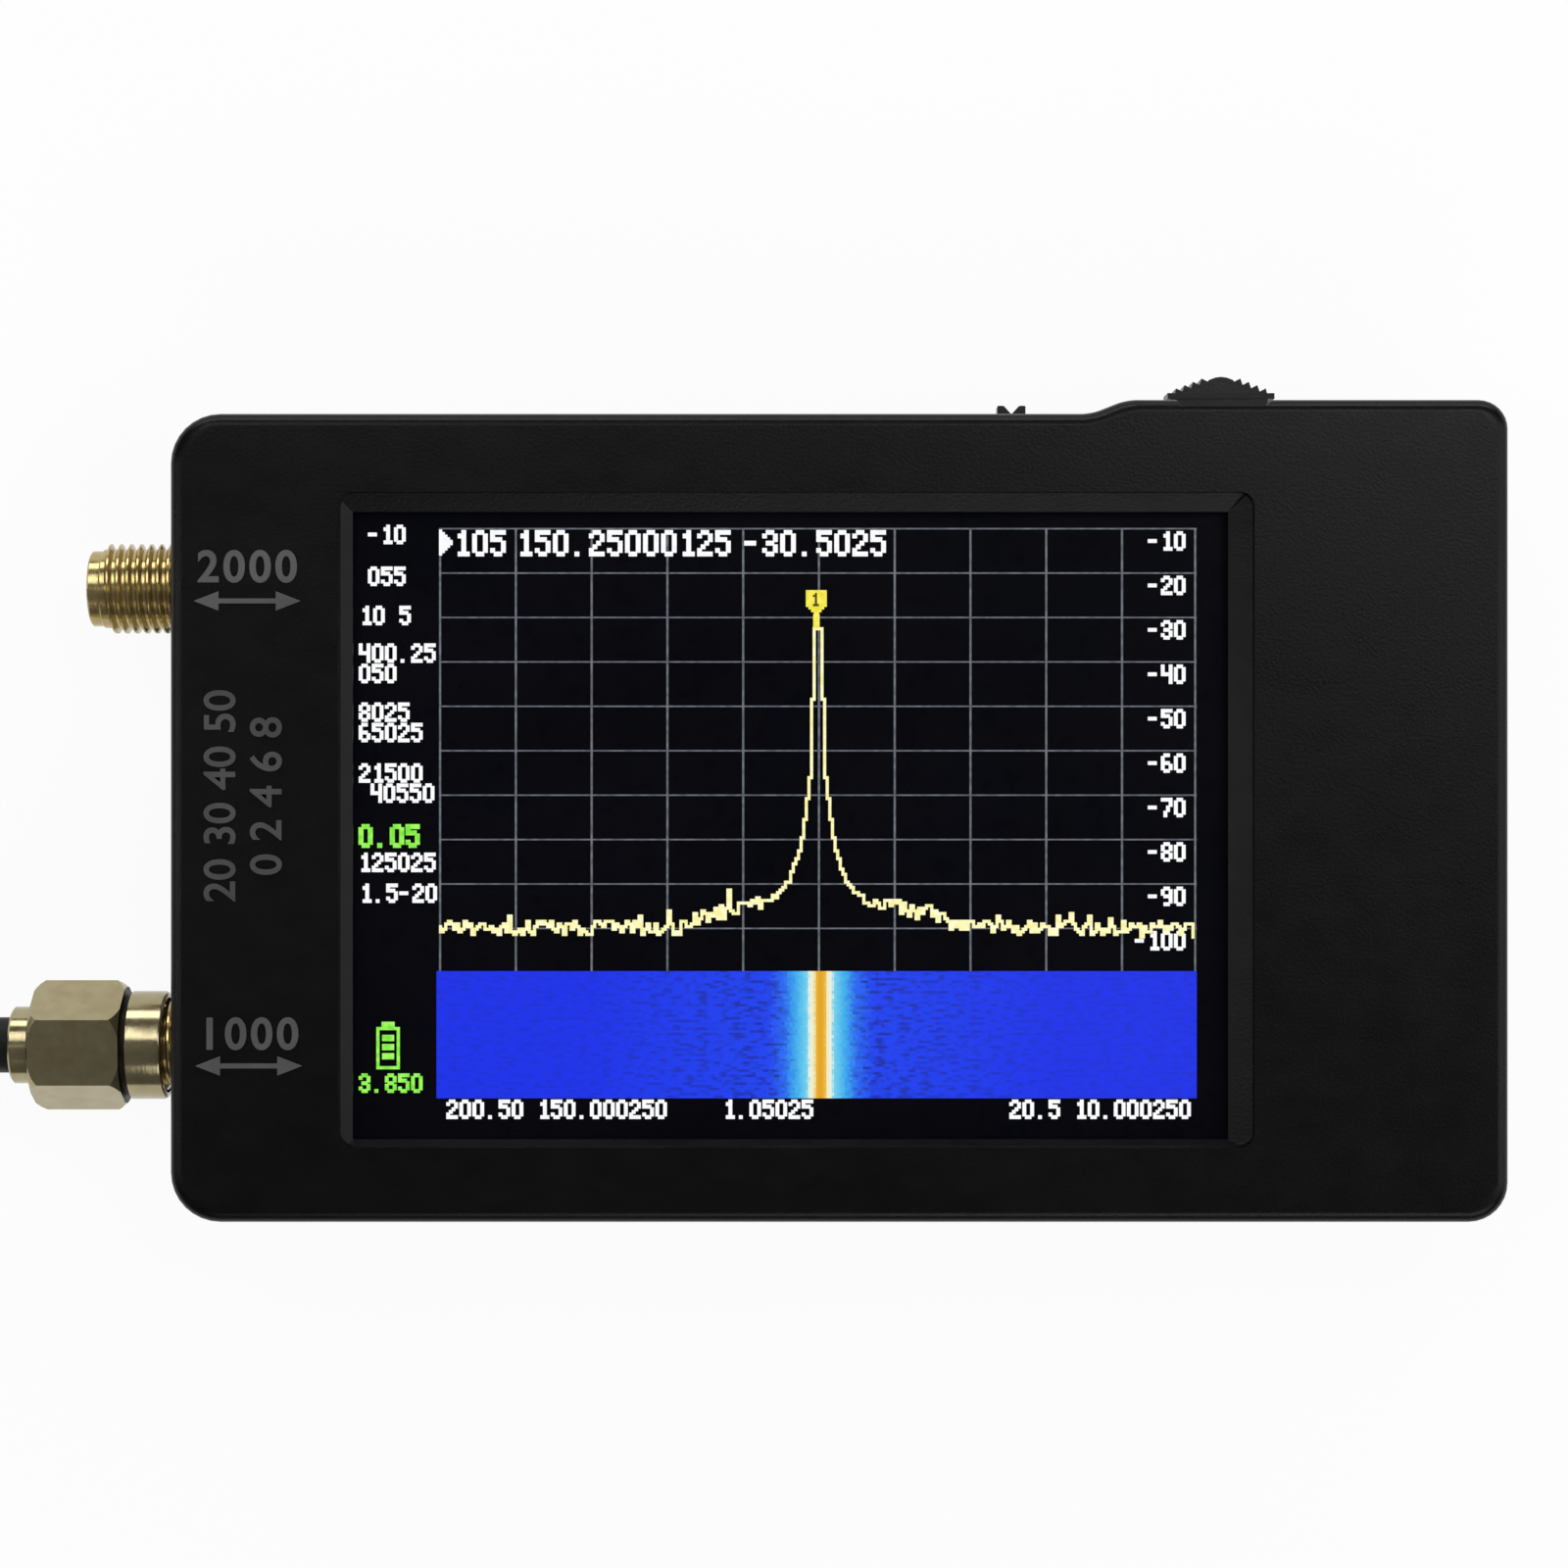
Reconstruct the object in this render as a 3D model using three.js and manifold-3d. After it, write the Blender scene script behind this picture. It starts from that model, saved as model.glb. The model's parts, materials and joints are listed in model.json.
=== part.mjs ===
// A handheld spectrum analyzer lying on its back, with a short coaxial lead on its lower port.
// Millimetres. +X is the right of the screen, +Y is its top and +Z comes out of it.
// The case's middle is at X 0, Y 0 and its rear face at Z 0, until the last group centres the whole.

import * as THREE from "three";
import { ConvexGeometry } from "three/addons/geometries/ConvexGeometry.js";
import { mergeVertices } from "three/addons/utils/BufferGeometryUtils.js";
import Module from "manifold-3d";

// Clearances
const glueGap = 0.1; // between faces that are glued or soldered
const fitGap = 0.25; // round a piece that seats in another
const runGap = 0.3; // round a piece that moves, and at a cord's end
const overrun = 1; // how far a cutter reaches past what it cuts

// Case
const caseRise = 0.95; // the top edge stands higher beside the jog lever
const riseLength = 28.45; // from the case's right side to the foot of that rise
const riseRun = 2.4;
const caseWall = 1.6;
const rearThickness = 1.6;
const frontThickness = 2.1;
const edgeRound = 0.9;
const leftCorner = 3.4;
const topRightCorner = 2;
const bottomRightCorner = 2.7;
const partingGap = 0.25;
const lipHeight = 1.2;
const lipThickness = 0.6;

// Stack from the rear case to the front one
const batteryRoom = 0.4;
const batteryThickness = 5;
const padThickness = 0.4;
const boardThickness = 1.6;
const foamThickness = 1.6;
const backlightThickness = 1.6;
const glassThickness = 1.2;
const touchThickness = 0.9;

const batteryLow = rearThickness + batteryRoom;
const padLow = batteryLow + batteryThickness + glueGap;
const boardLow = padLow + padThickness + glueGap;
const boardHigh = boardLow + boardThickness;
const foamLow = boardHigh + glueGap;
const backlightLow = foamLow + foamThickness + glueGap;
const glassLow = backlightLow + backlightThickness + glueGap;
const touchLow = glassLow + glassThickness + glueGap;
const frontInner = touchLow + touchThickness + glueGap;
const caseDepth = frontInner + frontThickness;
const portHeight = (boardLow + boardHigh) / 2;
const fittingHigh = boardLow - glueGap; // pieces soldered to the board's rear end here

// Display and its window
const windowLength = 60;
const windowWidth = 43;
const windowCorner = 0.3;
const displayPastWindowLeft = 2.57;
const displayPastWindowRight = 6.63;
const displayPastWindowSide = 3.5;
const displayCorner = 0.5;
const displayLeftMargin = 9.75; // from the display to the case's outside
const displayRightMargin = 12.35;
const displayTopMargin = 3.13;
const displayBottomMargin = 2.07;
const touchInset = 3.2; // the touch panel is shorter than the display by this
const foamInset = 2;
const foamBand = 4;
const windowBand = 0.6; // narrow inner slope
const windowBandDepth = 0.25;
const windowLip = 0.2; // upright edge under the inner slope
const windowSlope = 1.3; // wide outer slope, seen from the front
const windowOuterCorner = 2.2;
const flexWidth = 20;
const flexThickness = 0.15;
const flexReach = 1.1; // from the glass to the middle of the fold
const ribThickness = 0.8;
const leftRibLength = 25;
const rightRibLength = 8;

// Board, chips and shield cans
const boardGap = 0.5;
const boardCorner = 1.5;
const canHeight = 2.6;
const canSheet = 0.3;
const canSetback = 5.85; // from the board's left end
const canSocketGap = 1.1;
const canSplit = 3; // between the two cans
const canUsbGap = 0.6;
const radioChipSize = 4.5;
const chipThickness = 0.9;
const processorSize = 7;
const processorX = 6;
const processorY = 4;

// Battery
const batteryLength = 48;
const batteryWidth = 30;
const batteryCorner = 1.5;
const batteryRightGap = 0.55; // to the case's wall
const batteryY = -2;
const padLength = 30;
const padWidth = 18;
const batterySocketSetback = 3.9; // from the battery's left end
const batterySocketY = 6;
const batterySocketLength = 6;
const batterySocketWidth = 5;
const batterySocketHeight = 3.4;
const batterySocketWall = 0.6;
const batteryPlugProud = 1.4;
const wireDiameter = 1.2;
const wirePitch = 1.6;
const wireBend = 2.4;
const wireSides = 6;
const wireSteps = 14;

// Case screws
const screwInsetX = 6;
const screwInsetY = 4.45;
const bossRadius = 3;
const screwRadius = 1;
const screwReach = 4; // into the front case, past the board
const screwTip = 0.6;
const screwHole = 1.3;
const pilotGap = 0.15;
const headRadius = 1.75;
const headHeight = 1.3;
const headRecess = 0.6;
const headEdge = 0.35;
const driveLength = 2.1;
const driveWidth = 0.5;
const driveDepth = 0.7;

// Coaxial ports
const portSpacing = 32.1;
const portReach = 6.75; // from the case's side to the port's tip
const noseRadius = 2.65;
const noseLength = 0.8;
const threadRadius = 3.15;
const threadDepth = 0.38;
const threadPitch = 0.7056; // 36 threads an inch
const crestStartShare = 0.4; // of the pitch
const crestEndShare = 0.6;
const threadEndGap = 0.5;
const flangeSize = 7;
const flangeThickness = 1.7;
const legLength = 3.5;
const legWidth = 1;
const counterboreRadius = 2.3;
const counterboreDepth = 1.95;
const insulatorBore = 2;
const contactRadius = 0.7;
const contactBore = 0.52;
const contactBoreDepth = 2.7;
const contactTail = 3;

// Coaxial plugs, measured from the tip of the port that they screw onto
const nutRear = 3.88;
const nutFront = 5.33;
const nutHexFront = 2.42;
const nutAcrossFlats = 7.94;
const nutChamfer = 0.7;
const nutSleeveRadius = 3.8;
const nutRearWall = 1.78;
const plugSeatGap = 0.2;
const plugShoulderRadius = 3.1;
const plugNeckRadius = 2.2;
const plugTubeWall = 0.2;
const plugCollarRadius = 2.7;
const plugCollarLength = 1.46;
const plugTailRadius = 1.3;
const plugTailLength = 3.5;
const plugBoreDepth = 1.5; // behind the port's tip
const pinRadius = 0.42;
const pinProud = 2.3;
const bootRadius = 1.95;
const bootEndRadius = 1.6;
const bootLength = 10;
const bootTaper = 3;
const nearNutTurn = THREE.MathUtils.degToRad(26); // a corner of the nut, from +Z towards +Y

// Test lead
const leadDiameter = 2.8;
const lyingGap = 0.05; // under a cord that lies on the table
const leadSides = 8;
const leadRunSteps = 16;
const coilRadius = 14.2;
const coilTurns = 1.5;
const coilStepsPerTurn = 24;
const coilSides = 6;
const coilGap = 0.45; // between turns that lie on each other
const coilStraight = 3;
const climbStartShare = 0.39; // of the coil's turns
const climbEndShare = 0.58;
// The free stretch, as distances from the boot and shares of the port's height over a lying cord.
const leadRoute = [
  [0, 1], [2.9, 1], [5.8, 1], [7.9, 0.976], [10, 0.905], [12.1, 0.794], [14.2, 0.655], [16.3, 0.5],
  [18.4, 0.345], [20.5, 0.206], [22.6, 0.095], [24.7, 0.024], [26.8, 0], [29.8, 0], [32.8, 0], [35.9, 0],
];

// Jog lever and its switch
const jogSetback = 18.55; // from the case's right side
const jogPivotDepth = 4.52; // below the raised top edge
const jogTilt = THREE.MathUtils.degToRad(8);
const jogPush = 0.35;
const jogBodyLength = 8.8;
const jogBodyHeight = 3.4;
const jogBodyWall = 0.4;
const jogPinRadius = 0.6;
const jogHubRadius = 1.5;
const jogStemWidth = 2.8;
const jogStemHeight = 1.4;
const jogStemLow = 2.2; // from the board's rear down to the stem's lower face
const jogCapHeight = 2.8;
const jogCarriageSheet = 0.4;
const jogCarriageLength = 6.4;
const jogCarriageRear = 3;
const jogCarriageFront = 1.4;
const jogBaseReach = 4.8; // the cap's outline, as distances from the pivot
const jogFlangeReach = 5.5;
const jogFanReach = 5.9;
const jogTopReach = 7.05;
const jogBaseWidth = 6.6;
const jogFlangeWidth = 7.55;
const jogFanWidth = 6.5;
const jogTopWidth = 1.7;
const jogTeeth = 4;
const jogToothDepth = 0.22;
const reliefDepth = 0.72;
const reliefWidth = 8.55;

// Power switch
const switchSpacing = 14.75; // from the jog lever
const switchTravel = 2;
const switchBodyLength = 8.6;
const switchBodyDepth = 3.3;
const switchBodyHeight = 3.2;
const switchBodyWall = 0.4;
const switchKnobWidth = 2;
const switchKnobHeight = 1.6;
const switchKnobProud = 1.53;
const switchNotchDepth = 0.6;
const switchNotchWidth = 1.1;
const switchCarrierWidth = 5.2;
const switchCarrierDepth = 1.7;

// Charging socket
const usbSpacing = 14.35; // from the power switch
const usbWidth = 8.94;
const usbHeight = 3.26;
const usbLength = 7.35;
const usbCorner = 1.2;
const usbSheet = 0.3;
const usbRecess = 0.5;
const usbTongueWidth = 6.2;
const usbTongueThickness = 0.7;
const usbTongueRecess = 0.8;
const usbBlockDepth = 1.2;

// Places that several pieces share
const displayLength = windowLength + displayPastWindowLeft + displayPastWindowRight;
const displayWidth = windowWidth + 2 * displayPastWindowSide;
const touchLength = displayLength - touchInset;
const caseLength = displayLength + displayLeftMargin + displayRightMargin;
const caseWidth = displayWidth + displayTopMargin + displayBottomMargin;
const displayX = (displayLeftMargin - displayRightMargin) / 2;
const displayY = (displayBottomMargin - displayTopMargin) / 2;
const windowX = displayX + (displayPastWindowLeft - displayPastWindowRight) / 2;
const windowY = displayY;
const caseLeft = -caseLength / 2;
const caseRight = caseLength / 2;
const caseTop = caseWidth / 2;
const raisedTop = caseTop + caseRise;
const portTip = caseLeft - portReach;
const flangeX = caseLeft + caseWall + fitGap;
const boardLeft = flangeX + flangeThickness + fitGap;
const boardRight = caseRight - caseWall - boardGap;
const boardTop = caseTop - caseWall - boardGap;
const batteryX = caseRight - caseWall - batteryRightGap - batteryLength / 2;
const batterySocketX = batteryX - batteryLength / 2 - batterySocketSetback;
const canLeft = boardLeft + canSetback;
const canRight = batterySocketX - batterySocketWidth / 2 - canSocketGap;
const canX = (canLeft + canRight) / 2;
const displayRight = displayX + displayLength / 2;
const windowInnerHigh = frontInner + windowLip + windowBandDepth;
const screwX = caseLength / 2 - screwInsetX;
const screwY = caseWidth / 2 - screwInsetY;
const screwPlaces = [[-screwX, -screwY], [screwX, -screwY], [screwX, screwY], [-screwX, screwY]];
const portPlaces = { upper: portSpacing / 2, lower: -portSpacing / 2 };
const jogX = caseRight - jogSetback;
const jogPivotY = raisedTop - jogPivotDepth;
const switchX = jogX - switchSpacing;
const usbX = switchX - usbSpacing;
const usbFront = caseTop - usbRecess;
const usbRear = usbFront - usbLength;
const canWidth = usbRear - canUsbGap - canSplit / 2;
const canY = (canSplit + canWidth) / 2;
const jogStemZ = boardLow - jogStemLow;
const jogCapZ = jogStemZ + (jogStemHeight - jogCapHeight) / 2;
const switchZ = fittingHigh - switchBodyHeight / 2;
const usbZ = fittingHigh - usbHeight / 2;
const jogTop = jogPivotY + jogTopReach;

// Materials
const caseBlack = { color: 0x1b1b1c, roughness: 0.5, metalness: 0 };
const switchBlack = { color: 0x202022, roughness: 0.45, metalness: 0 };
const goldPlate = { color: 0xc9a45c, roughness: 0.28, metalness: 1 };
const nickelPlate = { color: 0xb9b2a0, roughness: 0.25, metalness: 1 };
const steel = { color: 0xa9abad, roughness: 0.35, metalness: 1 };
const darkSteel = { color: 0x2a2a2c, roughness: 0.4, metalness: 1 };
const boardGreen = { color: 0x1c4a35, roughness: 0.5, metalness: 0 };
const chipBlack = { color: 0x151516, roughness: 0.6, metalness: 0 };
const whitePlastic = { color: 0xe6e4dc, roughness: 0.5, metalness: 0 };
const screenGlass = { color: 0x0a0b10, roughness: 0.12, metalness: 0 };
const foamGrey = { color: 0x3a3a3c, roughness: 0.9, metalness: 0 };
const flexAmber = { color: 0x8a5a1e, roughness: 0.45, metalness: 0 };
const batterySilver = { color: 0xb4b6b8, roughness: 0.4, metalness: 0.6 };
const wireRed = { color: 0xa11a16, roughness: 0.5, metalness: 0 };
const wireBlack = { color: 0x141414, roughness: 0.5, metalness: 0 };
const leadBlack = { color: 0x121212, roughness: 0.55, metalness: 0 };

const wasm = await Module();
wasm.setup();

// A closed geometry becomes a solid that can be joined and cut.
function solidOf(geometry) {
  geometry.deleteAttribute("normal");
  geometry.deleteAttribute("uv");
  const welded = mergeVertices(geometry);
  const vertProperties = new Float32Array(welded.attributes.position.array);
  const triVerts = new Uint32Array(welded.index.array);
  return new wasm.Manifold(new wasm.Mesh({ numProp: 3, vertProperties, triVerts }));
}

function geometryOf(solid) {
  const mesh = solid.getMesh();
  const geometry = new THREE.BufferGeometry();
  geometry.setAttribute("position", new THREE.BufferAttribute(mesh.vertProperties, 3));
  geometry.setIndex(new THREE.BufferAttribute(mesh.triVerts, 1));
  geometry.computeVertexNormals();
  return geometry;
}

function joined(solids) {
  return solids.reduce((whole, solid) => whole.add(solid));
}

function cut(solid, cutters) {
  return cutters.reduce((left, cutter) => left.subtract(cutter), solid);
}

// A box from its lowest corner to its highest.
function block(low, high) {
  const size = high.map((value, index) => value - low[index]);
  const middle = high.map((value, index) => (value + low[index]) / 2);
  return solidOf(new THREE.BoxGeometry(...size).translate(...middle));
}

// An outline in X and Y, standing from one height to another.
function prism(outline, low, high, curveSegments = 4) {
  const settings = { depth: high - low, bevelEnabled: false, curveSegments };
  return solidOf(new THREE.ExtrudeGeometry(outline, settings).translate(0, 0, low));
}

// An outline in X and Z, running from one Y to another.
function prismAlongY(outline, low, high) {
  const settings = { depth: high - low, bevelEnabled: false, curveSegments: 4 };
  const geometry = new THREE.ExtrudeGeometry(outline, settings).rotateX(Math.PI / 2);
  return solidOf(geometry.translate(0, high, 0));
}

// A profile of [height, radius] pairs, turned about an upright axis.
function turnedUp(profile, x, y, sides = 20) {
  const points = profile.map(([height, radius]) => new THREE.Vector2(radius, height));
  const geometry = new THREE.LatheGeometry(points, sides).rotateX(Math.PI / 2);
  return solidOf(geometry.translate(x, y, 0));
}

// A profile of [x, radius] pairs, turned about a line along X.
function turnedAlongX(profile, y, z, sides = 20) {
  const points = profile.map(([x, radius]) => new THREE.Vector2(radius, x));
  const geometry = new THREE.LatheGeometry(points, sides).rotateZ(-Math.PI / 2);
  return solidOf(geometry.translate(0, y, z));
}

function rodUp(x, y, radius, low, high, sides = 20) {
  return turnedUp([[low, 0], [low, radius], [high, radius], [high, 0]], x, y, sides);
}

function rodAlongX(y, z, radius, low, high, sides = 20) {
  return turnedAlongX([[low, 0], [low, radius], [high, radius], [high, 0]], y, z, sides);
}

function polygon(points) {
  return new THREE.Shape(points.map(([x, y]) => new THREE.Vector2(x, y)));
}

function roundedRectangle(x, y, length, width, corner) {
  const right = x + length / 2;
  const left = x - length / 2;
  const top = y + width / 2;
  const bottom = y - width / 2;
  const outline = new THREE.Shape();
  outline.absarc(right - corner, top - corner, corner, 0, Math.PI / 2);
  outline.absarc(left + corner, top - corner, corner, Math.PI / 2, Math.PI);
  outline.absarc(left + corner, bottom + corner, corner, Math.PI, Math.PI * 1.5);
  outline.absarc(right - corner, bottom + corner, corner, Math.PI * 1.5, Math.PI * 2);
  return outline;
}

// A section with equal sides, for a tube along a curve.
function tubeSection(diameter, sides) {
  const corners = Array.from({ length: sides }, (_, index) => {
    const angle = (Math.PI * 2 * index) / sides;
    return [(diameter / 2) * Math.cos(angle), (diameter / 2) * Math.sin(angle)];
  });
  return polygon(corners);
}

function tube(curve, diameter, sides, steps) {
  const settings = { extrudePath: curve, steps, bevelEnabled: false };
  return solidOf(new THREE.ExtrudeGeometry(tubeSection(diameter, sides), settings));
}

// The case's outline, drawn in by a wall's thickness.
function caseOutline(inset) {
  const left = caseLeft + inset;
  const right = caseRight - inset;
  const bottom = inset - caseWidth / 2;
  const top = caseTop - inset;
  const foot = caseRight - riseLength + inset * Math.tan(Math.atan2(caseRise, riseRun) / 2);
  const leftRound = Math.max(leftCorner - inset, inset);
  const topRightRound = Math.max(topRightCorner - inset, topRightCorner / 4);
  const bottomRightRound = Math.max(bottomRightCorner - inset, bottomRightCorner / 4);
  const outline = new THREE.Shape();
  outline.absarc(right - topRightRound, top + caseRise - topRightRound, topRightRound, 0, Math.PI / 2);
  outline.lineTo(foot + riseRun, top + caseRise);
  outline.lineTo(foot, top);
  outline.absarc(left + leftRound, top - leftRound, leftRound, Math.PI / 2, Math.PI);
  outline.absarc(left + leftRound, bottom + leftRound, leftRound, Math.PI, Math.PI * 1.5);
  outline.absarc(
    right - bottomRightRound, bottom + bottomRightRound, bottomRightRound, Math.PI * 1.5, Math.PI * 2,
  );
  return outline;
}

function wholeCase() {
  const settings = {
    depth: caseDepth - 2 * edgeRound,
    bevelSize: edgeRound,
    bevelThickness: edgeRound,
    bevelOffset: -edgeRound,
    bevelSegments: 3,
    curveSegments: 5,
  };
  return solidOf(new THREE.ExtrudeGeometry(caseOutline(0), settings).translate(0, 0, edgeRound));
}

function everythingBetween(low, high) {
  const reach = caseLength;
  return block([-reach, -reach, low], [reach, reach, high]);
}

function portHoles() {
  const radius = threadRadius + fitGap;
  return Object.values(portPlaces).map((y) =>
    rodAlongX(y, portHeight, radius, caseLeft - overrun, caseLeft + caseWall + overrun),
  );
}

// The hollow in the top edge that the jog lever's cap swings in.
function jogRelief() {
  const half = reliefWidth / 2;
  const floor = raisedTop - reliefDepth;
  const high = raisedTop + overrun;
  const spread = high - floor;
  const outline = polygon([
    [jogX - half, floor], [jogX + half, floor], [jogX + half + spread, high], [jogX - half - spread, high],
  ]);
  return prism(outline, -overrun, caseDepth + overrun);
}

function slopedOpening(lowSize, lowCorner, lowZ, highSize, highCorner, highZ) {
  const ring = (size, corner, z) =>
    roundedRectangle(windowX, windowY, size[0], size[1], corner)
      .getPoints(4)
      .map((point) => new THREE.Vector3(point.x, point.y, z));
  const corners = [...ring(lowSize, lowCorner, lowZ), ...ring(highSize, highCorner, highZ)];
  return solidOf(new ConvexGeometry(corners));
}

function windowOpening() {
  const grown = (by) => [windowLength + 2 * by, windowWidth + 2 * by];
  const bandTop = windowBand;
  const slopeTop = windowBand + windowSlope;
  const straight = prism(
    roundedRectangle(windowX, windowY, windowLength, windowWidth, windowCorner),
    frontInner - overrun,
    frontInner + windowLip + windowBandDepth / 2,
  );
  const inner = slopedOpening(
    grown(0), windowCorner, frontInner + windowLip, grown(bandTop), windowBand, windowInnerHigh,
  );
  const rise = caseDepth - windowInnerHigh;
  const past = edgeRound / 2;
  const outer = slopedOpening(
    grown(bandTop), windowBand, windowInnerHigh,
    grown(slopeTop + (windowSlope * past) / rise), windowOuterCorner, caseDepth + past,
  );
  return joined([straight, inner, outer]);
}

function frontCase() {
  const low = portHeight + partingGap / 2;
  const shell = wholeCase().intersect(everythingBetween(low, caseDepth + overrun));
  const cavity = prism(caseOutline(caseWall), low - overrun, frontInner);
  const rebateTop = portHeight + lipHeight + fitGap;
  const rebate = prism(caseOutline(caseWall - lipThickness - fitGap), low - overrun, rebateTop);
  const lipRoom = rebate.subtract(
    prism(caseOutline(caseWall + fitGap), low - 2 * overrun, rebateTop + overrun),
  );
  const bossHigh = frontInner + frontThickness / 2;
  const bosses = screwPlaces.map(([x, y]) => rodUp(x, y, bossRadius, boardHigh + glueGap, bossHigh));
  const bossRoom = prism(caseOutline(caseWall - lipThickness - fitGap), low, bossHigh);
  const pilotTop = boardHigh + screwReach + screwTip;
  const pilots = screwPlaces.map(([x, y]) =>
    rodUp(x, y, screwRadius + pilotGap, boardHigh - overrun, pilotTop),
  );
  const hollow = cut(shell, [cavity, rebate]);
  const held = joined([hollow, ...bosses.map((boss) => boss.intersect(bossRoom)), ...displayRibs()]);
  return cut(held, [windowOpening(), lipRoom, ...pilots, ...portHoles(), jogRelief()]);
}

// Ribs inside the front case that place the display from left and right.
function displayRibs() {
  const high = frontInner + frontThickness / 2;
  const leftEdge = displayX - displayLength / 2 - fitGap;
  const rightEdge = displayRight + fitGap;
  const halfRib = leftRibLength / 2;
  const flexSide = flexWidth / 2 + runGap;
  const ribEnd = flexSide + rightRibLength;
  return [
    block([leftEdge - ribThickness, displayY - halfRib, backlightLow], [leftEdge, displayY + halfRib, high]),
    block(
      [rightEdge, displayY + flexSide, backlightLow],
      [rightEdge + ribThickness, displayY + ribEnd, high],
    ),
    block(
      [rightEdge, displayY - ribEnd, backlightLow],
      [rightEdge + ribThickness, displayY - flexSide, high],
    ),
  ];
}

function rearCase() {
  const high = portHeight - partingGap / 2;
  const lipTop = portHeight + lipHeight;
  const shell = wholeCase().intersect(everythingBetween(-overrun, high));
  const cavity = prism(caseOutline(caseWall), rearThickness, lipTop + overrun);
  const lip = prism(caseOutline(caseWall - lipThickness), high - overrun, lipTop);
  const bosses = screwPlaces.map(([x, y]) => rodUp(x, y, bossRadius, rearThickness / 2, boardLow - glueGap));
  const bossRoom = prism(caseOutline(caseWall / 2), 0, caseDepth);
  const holes = screwPlaces.flatMap(([x, y]) => [
    rodUp(x, y, screwHole, -overrun, boardLow + overrun),
    rodUp(x, y, headRadius + fitGap, -overrun, headRecess + headHeight + glueGap),
  ]);
  const hollow = cut(joined([shell, lip]), [cavity]);
  const held = joined([hollow, ...bosses.map((boss) => boss.intersect(bossRoom))]);
  return cut(held, [...holes, ...portHoles(), jogRelief(), ...edgeOpenings()]);
}

// The openings in the rear case's top edge for the jog lever, the power switch and the charging socket.
function edgeOpenings() {
  const inside = caseTop - caseWall - overrun;
  const outside = raisedTop + overrun;
  const stemHalf = jogStemWidth / 2 + (raisedTop - jogPivotY) * Math.tan(jogTilt) + runGap;
  const knobLow = switchX - switchKnobWidth / 2 - runGap;
  const knobHigh = switchX + switchTravel + switchKnobWidth / 2 + runGap;
  const knobHalf = switchKnobHeight / 2 + runGap;
  const usb = roundedRectangle(
    usbX, usbZ, usbWidth + 2 * fitGap, usbHeight + 2 * fitGap, usbCorner + fitGap,
  );
  return [
    block(
      [jogX - stemHalf, inside, jogStemZ - runGap],
      [jogX + stemHalf, outside, jogStemZ + jogStemHeight + runGap],
    ),
    block([knobLow, inside, switchZ - knobHalf], [knobHigh, outside, switchZ + knobHalf]),
    prismAlongY(usb, inside, outside),
  ];
}

// A pan-head screw from the rear, through the board and into the front case.
function caseScrew(x, y) {
  const seat = headRecess + headHeight;
  const tip = boardHigh + screwReach;
  const body = turnedUp([
    [headRecess, 0], [headRecess, headRadius - headEdge], [headRecess + headEdge, headRadius],
    [seat, headRadius], [seat, screwRadius], [tip - screwTip, screwRadius], [tip, screwRadius / 2], [tip, 0],
  ], x, y);
  const low = headRecess - overrun;
  const high = headRecess + driveDepth;
  const long = driveLength / 2;
  const narrow = driveWidth / 2;
  return cut(body, [
    block([x - long, y - narrow, low], [x + long, y + narrow, high]),
    block([x - narrow, y - long, low], [x + narrow, y + long, high]),
  ]);
}

function displaySheet(length, corner, low, thickness) {
  const middle = displayX - (displayLength - length) / 2;
  return prism(roundedRectangle(middle, displayY, length, displayWidth, corner), low, low + thickness, 3);
}

// A foam frame between the board and the display.
function displayFoam() {
  const length = displayLength - 2 * foamInset;
  const width = displayWidth - 2 * foamInset;
  const outline = roundedRectangle(displayX, displayY, length, width, displayCorner);
  const hole = roundedRectangle(
    displayX, displayY, length - 2 * foamBand, width - 2 * foamBand, displayCorner,
  );
  outline.holes.push(hole);
  return prism(outline, foamLow, foamLow + foamThickness, 3);
}

// The display's ribbon, folded from the edge of the glass down to the board.
function displayFlex() {
  const start = displayRight + glueGap;
  const high = glassLow + glassThickness / 2;
  const low = boardHigh + glueGap + flexThickness / 2;
  const radius = (high - low) / 2;
  const bendX = start + flexReach;
  const half = flexThickness / 2;
  const outline = new THREE.Shape();
  outline.moveTo(start, high + half);
  outline.absarc(bendX, low + radius, radius + half, Math.PI / 2, -Math.PI / 2, true);
  outline.lineTo(start, low - half);
  outline.lineTo(start, low + half);
  outline.absarc(bendX, low + radius, radius - half, -Math.PI / 2, Math.PI / 2, false);
  outline.lineTo(start, high - half);
  return prismAlongY(outline, displayY - flexWidth / 2, displayY + flexWidth / 2);
}

function mainBoard() {
  const length = boardRight - boardLeft;
  const outline = roundedRectangle(boardLeft + length / 2, 0, length, 2 * boardTop, boardCorner);
  const holes = screwPlaces.map(([x, y]) => rodUp(x, y, screwHole, boardLow - overrun, boardHigh + overrun));
  const half = contactRadius + fitGap;
  const slotEnd = boardLeft - fitGap + contactTail + fitGap;
  const slots = Object.values(portPlaces).map((y) =>
    block([boardLeft - overrun, y - half, boardLow - overrun], [slotEnd, y + half, boardHigh + overrun]),
  );
  return cut(prism(outline, boardLow, boardHigh), [...holes, ...slots]);
}

function chipUnder(x, y, size) {
  const half = size / 2;
  return block([x - half, y - half, fittingHigh - chipThickness], [x + half, y + half, fittingHigh]);
}

function processorChip() {
  const half = processorSize / 2;
  return block(
    [processorX - half, processorY - half, foamLow],
    [processorX + half, processorY + half, foamLow + chipThickness],
  );
}

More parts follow.
